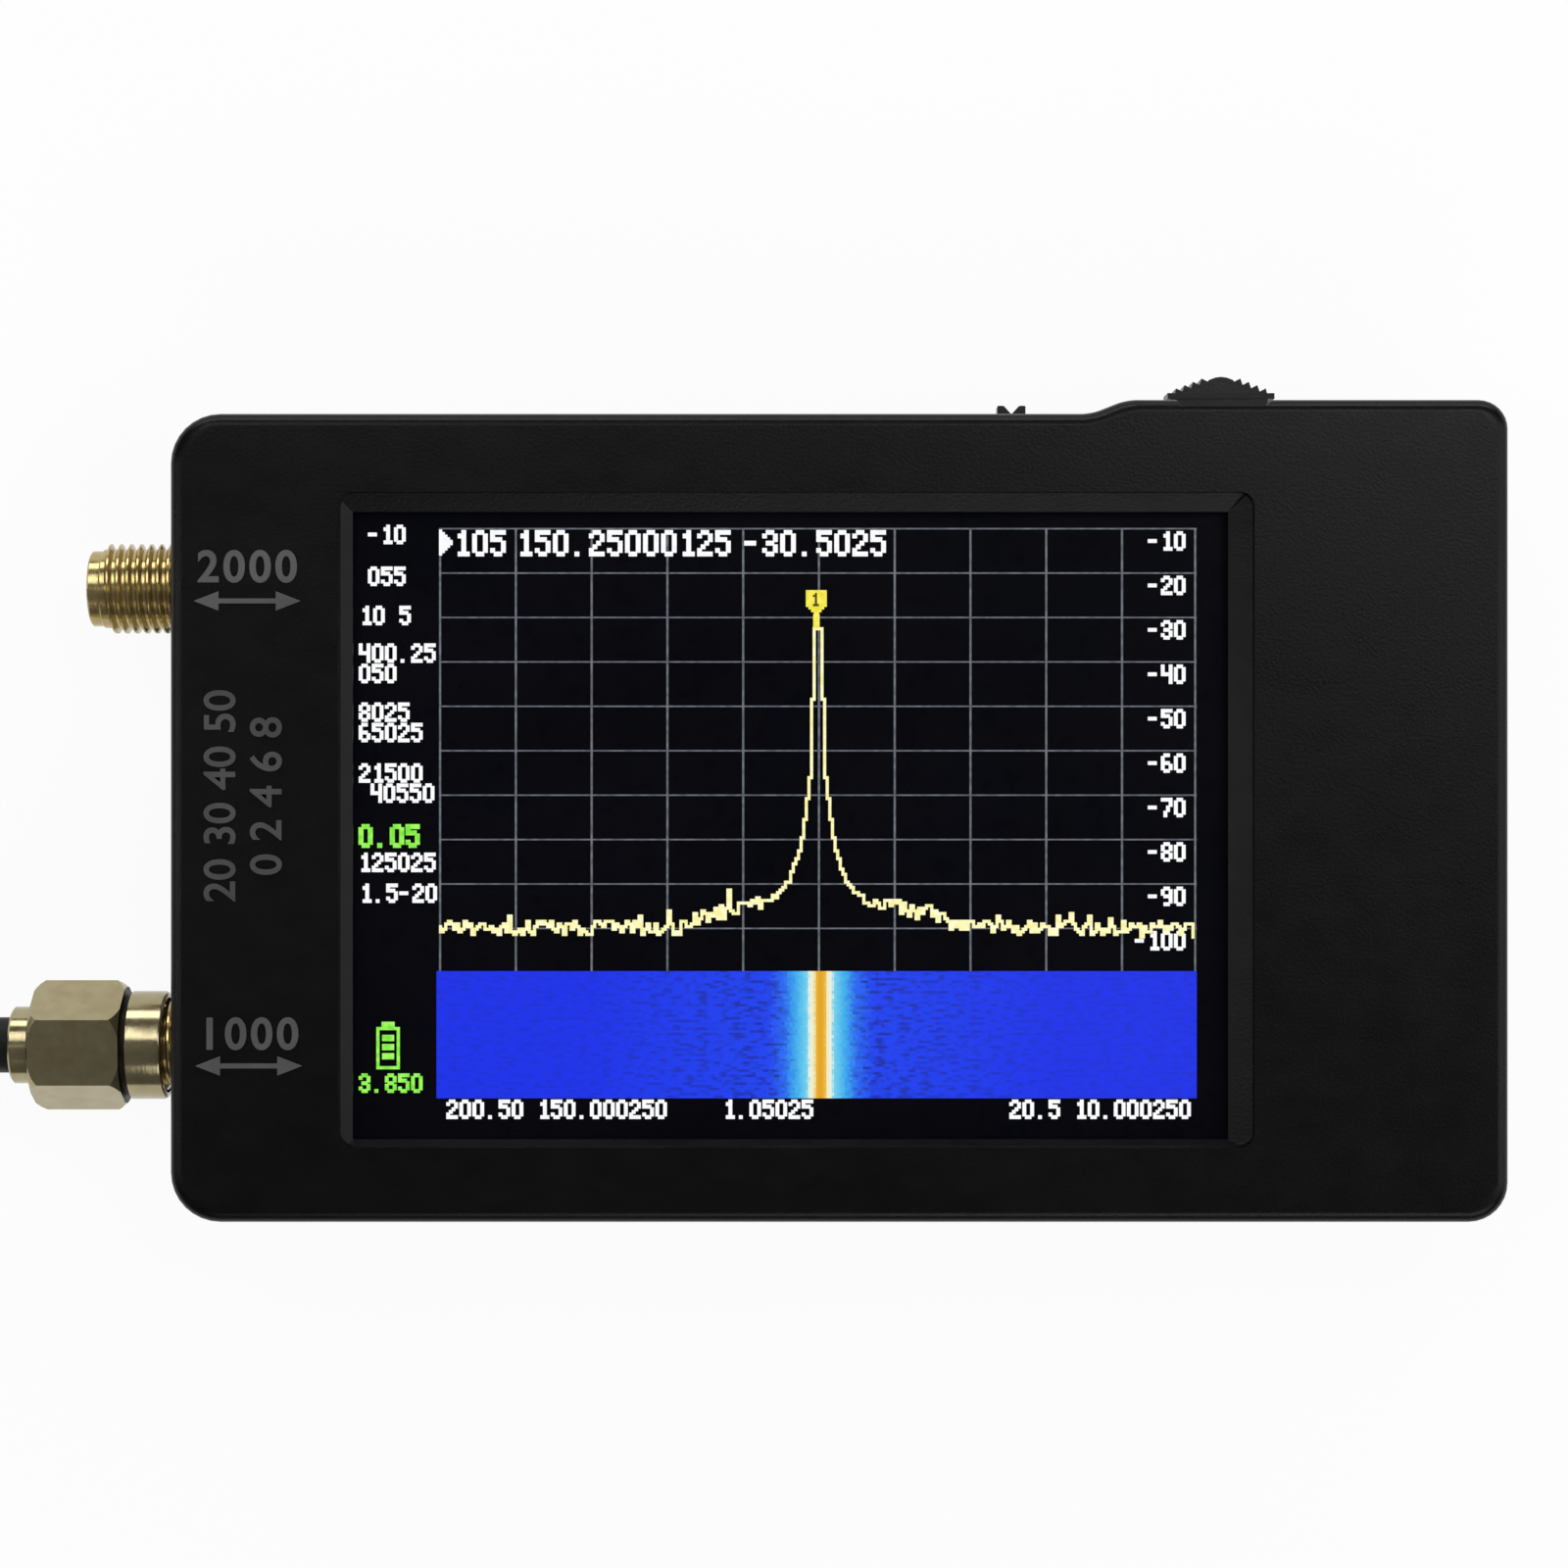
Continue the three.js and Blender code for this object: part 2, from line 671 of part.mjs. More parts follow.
// A pressed can over a radio chip, open towards the board.
function shieldCan(y) {
  const low = fittingHigh - canHeight;
  const bottom = y - canWidth / 2;
  const top = y + canWidth / 2;
  const hollow = block(
    [canLeft + canSheet, bottom + canSheet, low + canSheet],
    [canRight - canSheet, top - canSheet, fittingHigh + overrun],
  );
  return block([canLeft, bottom, low], [canRight, top, fittingHigh]).subtract(hollow);
}

function battery() {
  const outline = roundedRectangle(batteryX, batteryY, batteryLength, batteryWidth, batteryCorner);
  return prism(outline, batteryLow, batteryLow + batteryThickness);
}

function batteryPad() {
  const half = [padLength / 2, padWidth / 2];
  return block(
    [batteryX - half[0], batteryY - half[1], padLow],
    [batteryX + half[0], batteryY + half[1], padLow + padThickness],
  );
}

const batteryPlugZ = fittingHigh - batterySocketHeight / 2;
const batterySocketMouth = batterySocketY - batterySocketLength / 2;

function batterySocket() {
  const half = batterySocketWidth / 2;
  const inner = half - batterySocketWall;
  const innerHeight = batterySocketHeight / 2 - batterySocketWall;
  const body = block(
    [batterySocketX - half, batterySocketMouth, fittingHigh - batterySocketHeight],
    [batterySocketX + half, batterySocketMouth + batterySocketLength, fittingHigh],
  );
  const hollow = block(
    [batterySocketX - inner, batterySocketMouth - overrun, batteryPlugZ - innerHeight],
    [
      batterySocketX + inner,
      batterySocketMouth + batterySocketLength - batterySocketWall,
      batteryPlugZ + innerHeight,
    ],
  );
  return body.subtract(hollow);
}

function batteryPlug() {
  const half = batterySocketWidth / 2 - batterySocketWall - glueGap;
  const halfHeight = batterySocketHeight / 2 - batterySocketWall - glueGap;
  const end = batterySocketMouth + batterySocketLength - batterySocketWall - glueGap;
  return block(
    [batterySocketX - half, batterySocketMouth - batteryPlugProud, batteryPlugZ - halfHeight],
    [batterySocketX + half, end, batteryPlugZ + halfHeight],
  );
}

// One of the two wires between the battery's end and its plug.
function batteryWire(side) {
  const startX = batteryX - batteryLength / 2 - runGap;
  const startZ = batteryLow + batteryThickness / 2;
  const wireX = batterySocketX + (side * wirePitch) / 2;
  const endY = batterySocketMouth - batteryPlugProud - runGap;
  const turnY = batteryY - batteryWidth / 4 + (side * wirePitch) / 2;
  const middleY = (turnY + wireBend + endY) / 2;
  const points = [
    [startX, turnY, startZ],
    [startX - wireDiameter, turnY, startZ],
    [wireX, turnY + wireBend, (startZ + batteryPlugZ) / 2],
    [wireX, middleY, batteryPlugZ],
    [wireX, endY - wireDiameter, batteryPlugZ],
    [wireX, endY, batteryPlugZ],
  ];
  const curve = new THREE.CatmullRomCurve3(points.map((point) => new THREE.Vector3(...point)));
  return tube(curve, wireDiameter, wireSides, wireSteps);
}

// A threaded port: nose, thread, shoulder through the wall, square flange and legs round the board.
function portBody(y) {
  const threadStart = portTip + noseLength;
  const threadEnd = caseLeft - threadEndGap;
  const crests = Math.floor((threadEnd - threadStart) / threadPitch);
  const root = threadRadius - threadDepth;
  const flangeEnd = flangeX + flangeThickness;
  const profile = [[portTip, counterboreRadius], [portTip, noseRadius], [threadStart, noseRadius]];
  for (let index = 0; index < crests; index += 1) {
    const start = threadStart + index * threadPitch;
    profile.push([start, root]);
    profile.push([start + threadPitch * crestStartShare, threadRadius]);
    profile.push([start + threadPitch * crestEndShare, threadRadius]);
  }
  const shoulderStart = threadStart + crests * threadPitch;
  profile.push([shoulderStart, root]);
  profile.push([shoulderStart + threadDepth, threadRadius]);
  profile.push([flangeX + flangeThickness / 2, threadRadius]);
  profile.push([flangeX + flangeThickness / 2, insulatorBore]);
  profile.push([portTip + counterboreDepth, insulatorBore]);
  profile.push([portTip + counterboreDepth, counterboreRadius]);
  profile.push([portTip, counterboreRadius]);
  const half = flangeSize / 2;
  const flange = cut(
    block([flangeX, y - half, portHeight - half], [flangeEnd, y + half, portHeight + half]),
    [rodAlongX(y, portHeight, insulatorBore, flangeX - overrun, flangeEnd + overrun)],
  );
  const legs = [-1, 1].flatMap((side) => [
    portLeg(y + side * (half - legWidth), boardHigh + glueGap),
    portLeg(y + side * (half - legWidth), boardLow - glueGap - legWidth),
  ]);
  return joined([turnedAlongX(profile, y, portHeight), flange, ...legs]);
}

function portLeg(y, low) {
  const start = flangeX + flangeThickness / 2;
  return block([start, y - legWidth / 2, low], [boardLeft + legLength, y + legWidth / 2, low + legWidth]);
}

function portInsulator(y) {
  const start = portTip + counterboreDepth;
  const end = flangeX + flangeThickness;
  const outer = insulatorBore - glueGap;
  const inner = contactRadius + glueGap;
  const profile = [[start, inner], [start, outer], [end, outer], [end, inner], [start, inner]];
  return turnedAlongX(profile, y, portHeight);
}

function portContact(y) {
  const start = portTip + counterboreDepth + glueGap;
  const end = flangeX + flangeThickness + contactTail;
  const boreEnd = start + contactBoreDepth;
  return turnedAlongX([
    [start, contactBore], [start, contactRadius], [end, contactRadius], [end, 0],
    [boreEnd, 0], [boreEnd, contactBore], [start, contactBore],
  ], y, portHeight, 12);
}

// The coupling nut: a hexagon with chamfered ends, a round sleeve in front and a wall behind.
function plugNut(tip, y, z, turn) {
  const rear = tip - nutRear;
  const hexFront = tip + nutHexFront;
  const front = tip + nutFront;
  const corner = nutAcrossFlats / 2 / Math.cos(Math.PI / 6);
  const hexagon = polygon(Array.from({ length: 6 }, (_, index) => {
    const angle = turn + (Math.PI * index) / 3;
    return [corner * Math.sin(angle), corner * Math.cos(angle)];
  }).reverse());
  const settings = { depth: hexFront - rear, bevelEnabled: false };
  const hexSolid = solidOf(
    new THREE.ExtrudeGeometry(hexagon, settings)
      .rotateY(Math.PI / 2)
      .rotateX(Math.PI / 2)
      .translate(rear, y, z),
  );
  const flat = nutAcrossFlats / 2;
  const rounder = turnedAlongX([
    [rear, 0], [rear, flat], [rear + nutChamfer, corner], [hexFront - nutChamfer, corner],
    [hexFront, flat], [hexFront, 0],
  ], y, z, 24);
  const sleeve = rodAlongX(y, z, nutSleeveRadius, hexFront - nutChamfer, front, 24);
  const bore = threadRadius + plugSeatGap;
  const boreEnd = rear + nutRearWall;
  return cut(joined([hexSolid.intersect(rounder), sleeve]), [
    rodAlongX(y, z, bore, boreEnd, front + overrun, 24),
    rodAlongX(y, z, plugNeckRadius + runGap, rear - overrun, boreEnd + overrun, 24),
  ]);
}

function plugBody(tip, y, z) {
  const tubeRadius = counterboreRadius - glueGap;
  const tubeFront = tip + counterboreDepth - plugSeatGap;
  const shoulderFront = tip - plugSeatGap;
  const shoulderRear = tip - nutRear + nutRearWall + plugSeatGap;
  const collarFront = tip - nutRear - plugSeatGap;
  const collarRear = collarFront - plugCollarLength;
  const tailRear = collarRear - plugTailLength;
  const bore = tubeRadius - plugTubeWall;
  const boreEnd = tip - plugBoreDepth;
  return turnedAlongX([
    [tailRear, 0], [tailRear, plugTailRadius], [collarRear, plugTailRadius],
    [collarRear, plugCollarRadius], [collarFront, plugCollarRadius], [collarFront, plugNeckRadius],
    [shoulderRear, plugNeckRadius], [shoulderRear, plugShoulderRadius],
    [shoulderFront, plugShoulderRadius], [shoulderFront, tubeRadius], [tubeFront, tubeRadius],
    [tubeFront, bore], [boreEnd, bore], [boreEnd, 0],
  ], y, z, 24);
}

function plugInsulator(tip, y, z) {
  const start = tip - plugBoreDepth + glueGap;
  const end = tip + counterboreDepth - plugSeatGap;
  const outer = counterboreRadius - plugTubeWall - 2 * glueGap;
  const inner = pinRadius + glueGap;
  return turnedAlongX([[start, inner], [start, outer], [end, outer], [end, inner], [start, inner]], y, z);
}

function plugPin(tip, y, z) {
  const start = tip - plugBoreDepth + glueGap;
  const end = tip + counterboreDepth - plugSeatGap + pinProud;
  const taper = pinRadius / 2;
  return turnedAlongX(
    [[start, 0], [start, pinRadius], [end - pinRadius, pinRadius], [end, taper], [end, 0]], y, z, 12,
  );
}

// The sleeve over the plug's tail, tapered towards the cord.
function plugBoot(tip, y, z) {
  const front = tip - nutRear - plugSeatGap - plugCollarLength - glueGap;
  const rear = front - bootLength;
  const hole = plugTailRadius + glueGap;
  const holeEnd = front - plugTailLength - glueGap;
  return turnedAlongX([
    [rear, 0], [rear, bootEndRadius], [rear + bootTaper, bootRadius], [front, bootRadius],
    [front, hole], [holeEnd, hole], [holeEnd, 0],
  ], y, z);
}

const bootReach = nutRear + plugSeatGap + plugCollarLength + glueGap + bootLength;

// The lead's free stretch, straight out of the near boot and down to the table.
const leadStartX = portTip - bootReach - runGap;
const leadY = portPlaces.lower;
const lyingHeight = leadDiameter / 2 + lyingGap;
const leadPoints = leadRoute.map(([distance, share]) =>
  new THREE.Vector3(leadStartX - distance, leadY, lyingHeight + share * (portHeight - lyingHeight)),
);
const leadRunEnd = leadPoints[leadPoints.length - 1];

// The lead's coil: clockwise seen from above, flat at first, then up over its own start.
class CoilCurve extends THREE.Curve {
  constructor() {
    super();
    this.start = leadRunEnd.x - runGap;
    this.climb = leadDiameter + coilGap;
    this.arc = coilTurns * 2 * Math.PI * coilRadius;
    this.total = this.arc + 2 * coilStraight;
  }

  getPoint(share, target = new THREE.Vector3()) {
    const distance = share * this.total;
    const before = Math.min(distance, coilStraight);
    const after = Math.max(distance - coilStraight - this.arc, 0);
    const arcShare = THREE.MathUtils.clamp((distance - coilStraight) / this.arc, 0, 1);
    const angle = -Math.PI / 2 - arcShare * coilTurns * 2 * Math.PI;
    const lift = THREE.MathUtils.smoothstep(arcShare, climbStartShare, climbEndShare);
    return target.set(
      this.start - before + coilRadius * Math.cos(angle) + after,
      leadY + coilRadius + coilRadius * Math.sin(angle),
      lyingHeight + lift * this.climb,
    );
  }
}

const coilCurve = new CoilCurve();
const coilEnd = coilCurve.getPoint(1);

// The least gap between stretches of the coil that are more than half a turn apart.
function leastCoilGap() {
  const count = Math.round(coilCurve.total * 2);
  const points = Array.from({ length: count + 1 }, (_, index) => coilCurve.getPoint(index / count));
  const apart = Math.round(count / coilTurns / 2);
  let least = Infinity;
  for (let first = 0; first <= count; first += 1) {
    for (let second = first + apart; second <= count; second += 1) {
      least = Math.min(least, points[first].distanceTo(points[second]));
    }
  }
  return least - leadDiameter;
}

console.log(`least gap of the coil to itself: ${leastCoilGap().toFixed(2)} mm`);

const farTip = coilEnd.x + runGap + bootReach;
const farY = coilEnd.y;
const farZ = coilEnd.z;

function jogRow(width, reach) {
  return [[jogX - width / 2, jogPivotY + reach], [jogX + width / 2, jogPivotY + reach]];
}

// The lever's cap from the front: a base, a flange and a fan with toothed flanks and a domed top.
function jogCapOutline() {
  const [baseLeft, baseRight] = jogRow(jogBaseWidth, jogBaseReach);
  const [neckLeft, neckRight] = jogRow(jogBaseWidth, jogFlangeReach);
  const [flangeLeft, flangeRight] = jogRow(jogFlangeWidth, jogFlangeReach);
  const [shoulderLeft, shoulderRight] = jogRow(jogFlangeWidth, jogFanReach);
  const [fanLeft, fanRight] = jogRow(jogFanWidth, jogFanReach);
  const right = [];
  const rise = jogTopReach - jogFanReach - jogToothDepth;
  const run = (jogFanWidth - jogTopWidth) / 2;
  for (let index = 0; index < jogTeeth; index += 1) {
    const share = (index + 0.5) / jogTeeth;
    const x = fanRight[0] - share * run;
    const y = fanRight[1] + share * rise;
    right.push([x + jogToothDepth, y + jogToothDepth]);
    right.push([x - jogToothDepth, y]);
  }
  const left = right.map(([x, y]) => [2 * jogX - x, y]).reverse();
  const [topLeft, topRight] = jogRow(jogTopWidth, jogTopReach - jogToothDepth);
  const crown = [jogX, jogTop];
  return polygon([
    baseLeft, baseRight, neckRight, flangeRight, shoulderRight, fanRight, ...right,
    topRight, crown, topLeft, ...left, fanLeft, shoulderLeft, flangeLeft, neckLeft,
  ]);
}

function jogLever() {
  const stemHigh = jogStemZ + jogStemHeight;
  const half = jogStemWidth / 2;
  const stem = block(
    [jogX - half, jogPivotY, jogStemZ],
    [jogX + half, jogPivotY + jogFlangeReach, stemHigh],
  );
  const hub = rodUp(jogX, jogPivotY, jogHubRadius, jogStemZ, stemHigh);
  const cap = prism(jogCapOutline(), jogCapZ, jogCapZ + jogCapHeight);
  const hole = rodUp(jogX, jogPivotY, jogPinRadius + fitGap, jogStemZ - overrun, stemHigh + overrun);
  return cut(joined([stem, hub, cap]), [hole]);
}

// The carriage inside the switch: a plate with the upright pin that the lever tilts on.
function jogCarriage() {
  const low = jogStemZ - runGap - jogCarriageSheet;
  const half = jogCarriageLength / 2;
  const plate = block(
    [jogX - half, jogPivotY - jogCarriageRear, low],
    [jogX + half, jogPivotY + jogCarriageFront, low + jogCarriageSheet],
  );
  const pinTop = jogStemZ + jogStemHeight + fitGap;
  return plate.add(rodUp(jogX, jogPivotY, jogPinRadius, low, pinTop, 12));
}

function jogSwitchBody() {
  const half = jogBodyLength / 2;
  const low = fittingHigh - jogBodyHeight;
  const rear = jogPivotY - jogCarriageRear - jogPush - runGap - jogBodyWall;
  const front = raisedTop - caseWall - fitGap;
  const stemHalf = jogStemWidth / 2 + (front - jogPivotY) * Math.tan(jogTilt) + runGap;
  const body = block([jogX - half, rear, low], [jogX + half, front, fittingHigh]);
  const hollow = block(
    [jogX - half + jogBodyWall, rear + jogBodyWall, low + jogBodyWall],
    [jogX + half - jogBodyWall, front - jogBodyWall, fittingHigh - jogBodyWall],
  );
  const slot = block(
    [jogX - stemHalf, front - overrun, jogStemZ - runGap],
    [jogX + stemHalf, front + overrun, jogStemZ + jogStemHeight + runGap],
  );
  return cut(body, [hollow, slot]);
}

function powerSwitchBody() {
  const middle = switchX + switchTravel / 2;
  const half = switchBodyLength / 2;
  const low = fittingHigh - switchBodyHeight;
  const front = caseTop - caseWall - fitGap;
  const rear = front - switchBodyDepth;
  const body = block([middle - half, rear, low], [middle + half, front, fittingHigh]);
  const hollow = block(
    [middle - half + switchBodyWall, rear + switchBodyWall, low + switchBodyWall],
    [middle + half - switchBodyWall, front - switchBodyWall, fittingHigh - switchBodyWall],
  );
  const slotHalf = (switchKnobWidth + switchTravel) / 2 + runGap;
  const slotHeight = switchKnobHeight / 2 + runGap;
  const slot = block(
    [middle - slotHalf, front - overrun, switchZ - slotHeight],
    [middle + slotHalf, front + overrun, switchZ + slotHeight],
  );
  return cut(body, [hollow, slot]);
}

// The slide knob, with its carrier inside the switch and a notch in its tip.
function powerSwitchKnob() {
  const front = caseTop - caseWall - fitGap;
  const carrierFront = front - switchBodyWall - glueGap;
  const carrierRear = carrierFront - switchCarrierDepth;
  const tip = caseTop + switchKnobProud;
  const halfHeight = switchKnobHeight / 2;
  const half = switchKnobWidth / 2;
  const carrierHalf = switchCarrierWidth / 2;
  const carrier = block(
    [switchX - carrierHalf, carrierRear, switchZ - halfHeight],
    [switchX + carrierHalf, carrierFront, switchZ + halfHeight],
  );
  const stem = prism(polygon([
    [switchX - half, carrierRear], [switchX + half, carrierRear], [switchX + half, tip],
    [switchX + switchNotchWidth / 2, tip], [switchX, tip - switchNotchDepth],
    [switchX - switchNotchWidth / 2, tip], [switchX - half, tip],
  ]), switchZ - halfHeight, switchZ + halfHeight);
  return carrier.add(stem);
}

function usbShell() {
  const outer = roundedRectangle(usbX, usbZ, usbWidth, usbHeight, usbCorner);
  const inner = roundedRectangle(
    usbX, usbZ, usbWidth - 2 * usbSheet, usbHeight - 2 * usbSheet, usbCorner - usbSheet,
  );
  const hollow = prismAlongY(inner, usbRear + usbSheet, usbFront + overrun);
  return prismAlongY(outer, usbRear, usbFront).subtract(hollow);
}

function usbTongue() {
  const rear = usbRear + usbSheet + glueGap;
  const half = usbTongueWidth / 2;
  const thick = usbTongueThickness / 2;
  const blockHeight = usbHeight / 2 - usbSheet - glueGap;
  const base = block(
    [usbX - half, rear, usbZ - blockHeight],
    [usbX + half, rear + usbBlockDepth, usbZ + blockHeight],
  );
  const tongue = block(
    [usbX - half, rear, usbZ - thick], [usbX + half, usbFront - usbTongueRecess, usbZ + thick],
  );
  return base.add(tongue);
}

const analyzer = new THREE.Group();

function place(name, solid, finish) {
  const mesh = new THREE.Mesh(geometryOf(solid), new THREE.MeshStandardMaterial(finish));
  mesh.name = name;
  analyzer.add(mesh);
}

function placeCase() {
  place("front_case", frontCase(), caseBlack);
  place("rear_case", rearCase(), caseBlack);
  screwPlaces.forEach(([x, y], index) => place(`case_screw_${index + 1}`, caseScrew(x, y), darkSteel));
}

function placeDisplay() {
  place("touch_panel", displaySheet(touchLength, displayCorner, touchLow, touchThickness), screenGlass);
  place("display_glass", displaySheet(displayLength, displayCorner, glassLow, glassThickness), screenGlass);
  place(
    "display_backlight",
    displaySheet(displayLength, displayCorner, backlightLow, backlightThickness),
    whitePlastic,
  );
  place("display_foam", displayFoam(), foamGrey);
  place("display_flex", displayFlex(), flexAmber);
}

function placeElectronics() {
  place("main_board", mainBoard(), boardGreen);
  place("processor_chip", processorChip(), chipBlack);
  [canY, -canY].forEach((y, index) => {
    place(`radio_chip_${index + 1}`, chipUnder(canX, y, radioChipSize), chipBlack);
    place(`shield_can_${index + 1}`, shieldCan(y), steel);
  });
  place("usb_shell", usbShell(), steel);
  place("usb_tongue", usbTongue(), chipBlack);
  place("battery", battery(), batterySilver);
  place("battery_pad", batteryPad(), foamGrey);
  place("battery_socket", batterySocket(), whitePlastic);
  place("battery_plug", batteryPlug(), whitePlastic);
  place("battery_wire_red", batteryWire(1), wireRed);
  place("battery_wire_black", batteryWire(-1), wireBlack);
}

function placeControls() {
  place("power_switch_body", powerSwitchBody(), steel);
  place("power_switch_knob", powerSwitchKnob(), switchBlack);
  place("jog_switch_body", jogSwitchBody(), steel);
  place("jog_carriage", jogCarriage(), whitePlastic);
  place("jog_lever", jogLever(), switchBlack);
}

function placePorts() {
  for (const [name, y] of Object.entries(portPlaces)) {
    place(`${name}_port_body`, portBody(y), goldPlate);
    place(`${name}_port_insulator`, portInsulator(y), whitePlastic);
    place(`${name}_port_contact`, portContact(y), goldPlate);
  }
}

function placePlug(name, tip, y, z, turn) {
  place(`${name}_plug_nut`, plugNut(tip, y, z, turn), nickelPlate);
  place(`${name}_plug_body`, plugBody(tip, y, z), nickelPlate);
  place(`${name}_plug_insulator`, plugInsulator(tip, y, z), whitePlastic);
  place(`${name}_plug_pin`, plugPin(tip, y, z), goldPlate);
  place(`${name}_plug_boot`, plugBoot(tip, y, z), leadBlack);
}

function placeLead() {
  placePlug("near", portTip, leadY, portHeight, nearNutTurn);
  const runCurve = new THREE.CatmullRomCurve3(leadPoints);
  place("lead_run", tube(runCurve, leadDiameter, leadSides, leadRunSteps), leadBlack);
  const coilSteps = Math.round(coilTurns * coilStepsPerTurn) + 2;
  place("lead_coil", tube(coilCurve, leadDiameter, coilSides, coilSteps), leadBlack);
  placePlug("far", farTip, farY, farZ, 0);
}

placeCase();
placeDisplay();
placeElectronics();
placeControls();
placePorts();
placeLead();

// The instrument without its lead reaches from the ports' tips to the case's right side, and from
// the case's lower edge to the top of the jog lever. The middle of that is the origin.
analyzer.position.set(-(portTip + caseRight) / 2, -(jogTop - caseWidth / 2) / 2, 0);

export default analyzer;
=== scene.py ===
# The dressed model of a pocket spectrum analyzer that lies on its back under a camera.
# Pieces are made in millimetres, with the middle of the case's rear face at the origin.
# finish_piece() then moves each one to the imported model's frame, in metres.

import json
import math
import random
import re

import bmesh
import bpy
from mathutils import Matrix, Vector


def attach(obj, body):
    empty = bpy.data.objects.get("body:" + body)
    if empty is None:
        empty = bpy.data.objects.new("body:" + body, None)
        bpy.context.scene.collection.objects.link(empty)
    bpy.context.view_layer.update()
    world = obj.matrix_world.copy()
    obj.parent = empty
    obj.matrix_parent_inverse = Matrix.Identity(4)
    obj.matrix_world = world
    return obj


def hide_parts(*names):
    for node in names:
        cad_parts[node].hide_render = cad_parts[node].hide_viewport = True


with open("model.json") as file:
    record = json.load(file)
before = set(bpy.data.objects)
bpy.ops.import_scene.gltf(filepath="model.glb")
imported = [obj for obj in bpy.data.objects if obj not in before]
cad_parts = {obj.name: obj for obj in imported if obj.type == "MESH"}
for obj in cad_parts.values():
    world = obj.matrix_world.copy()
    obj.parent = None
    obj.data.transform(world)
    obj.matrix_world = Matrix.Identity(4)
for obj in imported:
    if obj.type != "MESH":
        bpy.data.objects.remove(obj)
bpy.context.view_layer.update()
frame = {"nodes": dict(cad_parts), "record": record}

RECORD = frame["record"]
NODE_SLOTS = {row["node"]: row["material_slot"] for row in RECORD["subparts"]}
NODE_BODIES = {node: body for body, nodes in RECORD["behaviour"]["bodies"].items() for node in nodes}

METRE = 0.001
CASE_MIDDLE = Vector((0.003375, -0.00174, 0))

# Camera, in metres
VIEW_X = -0.000395
VIEW_Y = 0.000575
VIEW_HEIGHT = 0.2671
VIEW_WIDTH = 0.10667
VIEW_DISTANCE = 0.25
SENSOR = 36

# Floor, in metres
FLOOR_SIZE = 4
FLOOR_GAP = 0.00005
FLOOR_GLOW = 0.93

# Case
CASE_LEFT = -45.65
CASE_RIGHT = 45.65
CASE_TOP = 27.6
CASE_BOTTOM = -27.6
RAISED_TOP = 28.55
RISE_FOOT = 17.2
RISE_HEAD = 19.6
CASE_DEPTH = 17.1
MARK_HEIGHT = 0.14
MARK_SINK = 0.05
FACE_Z = CASE_DEPTH - MARK_HEIGHT
CASE_WALL = 1.6
REAR_FLOOR = 1.6
FRONT_INNER = 15
EDGE_ROUND = 0.9
PART_Z = 8.4
PART_GAP = 0.25
LIP_TOP = 9.6
LIP_INSET = 1
CORNERS = {"left": 3.4, "top_right": 2, "bottom_right": 2.7, "rise": 0.7}
LEAST_CORNERS = {"left": 0.8, "top_right": 0.5, "bottom_right": 0.7}
OVERRUN = 1
FRONT_NOTCH = {"x": 26.25, "half": 2.9, "lean": 0.35, "depth": 0.5, "low": 7, "high": 18}
REAR_NOTCH = {"x": 27.1, "half": 4.275, "lean": 0.72, "depth": 0.72, "low": 3.9, "high": 9}

# Recess round the screen
WINDOW_X = -3.33
WINDOW_Y = -0.53
WINDOW_LENGTH = 60
WINDOW_WIDTH = 43
BANDS = {"left": 0.8, "right": 1.6, "top": 1.25, "bottom": 0.42}
BAND_SLOPE = 0.42
LIP = 0.2
RECESS_CORNER = 1
RIM_CORNER = 0.05

# Screen
GLASS_TOP = 13.9
SCREEN_X = -4.135
SCREEN_Y = -0.385
SCREEN_COLUMNS = 320
SCREEN_ROWS = 240
DOT = 0.18
INK_THICKNESS = 0.03
INK_GAP = 0.005
LAYER_STEP = 0.004
FILM_SHARE = 0.07
LIGHT_STRENGTH = 1 / (1 - FILM_SHARE) ** 2
PLOT_LEFT = 30
PLOT_TOP = 7
COLUMN_STEP = 29
ROW_STEP = 17
GRID_COLUMNS = 10
GRID_ROWS = 10
WATERFALL_TOP = 176.6
WATERFALL_ROWS = 48.7
PEAK_COLUMN = 175
FLAG_ROW = 30.8
FLOOR_ROW = 160
WATERFALL_FADE = 90

# The trace's columns away from its peak, and its rows above its floor there
PEAK_SHAPE = [
    (0, 115), (1, 115), (2, 88), (3, 58), (4, 50), (5, 42), (6, 35), (7, 30), (8, 27), (11, 18),
    (15, 14), (20, 10.5), (28, 9), (36, 7), (45, 5), (52, 1), (120, 0),
]

# Ports
PORT_Z = 8.4
PORT_YS = {"upper": 16.05, "lower": -16.05}
PORT_TIP = -52.4
NOSE = 0.8
NOSE_RADIUS = 2.65
NOSE_CHAMFER = 0.12
THREAD_RADIUS = 3.15
THREAD_ROOT = 2.77
THREAD_PITCH = 0.7056
THREAD_TURNS = 6.6
THREAD_STEPS = 48
THREAD_GAP = 0.25
RIDGE_SINK = 0.06
RIDGE_CREST = (0.24, 0.36)
RIDGE_FOOT = 0.6
SHOULDER = 5.74
SHOULDER_RUN = 0.3
FLANGE_X = -43.8
FLANGE_THICKNESS = 1.7
FLANGE_SIZE = 7
PORT_BORE = 2
COUNTERBORE = 2.3
COUNTERBORE_DEPTH = 1.95
COUNTERBORE_CHAMFER = 0.08
PORT_HOLE_GAP = 0.25
LEG_Y = 2.5
LEG_HALF = 0.5
LEG_END = -38.35
LEG_LOWS = (6.5, 9.3)
INSULATOR_RADIUS = 1.9
INSULATOR_BORE = 0.8
PIN_HOLE = 0.52
CONTACT_RADIUS = 0.7
CONTACT_DEPTH = 2.7
CONTACT_TAIL = 3

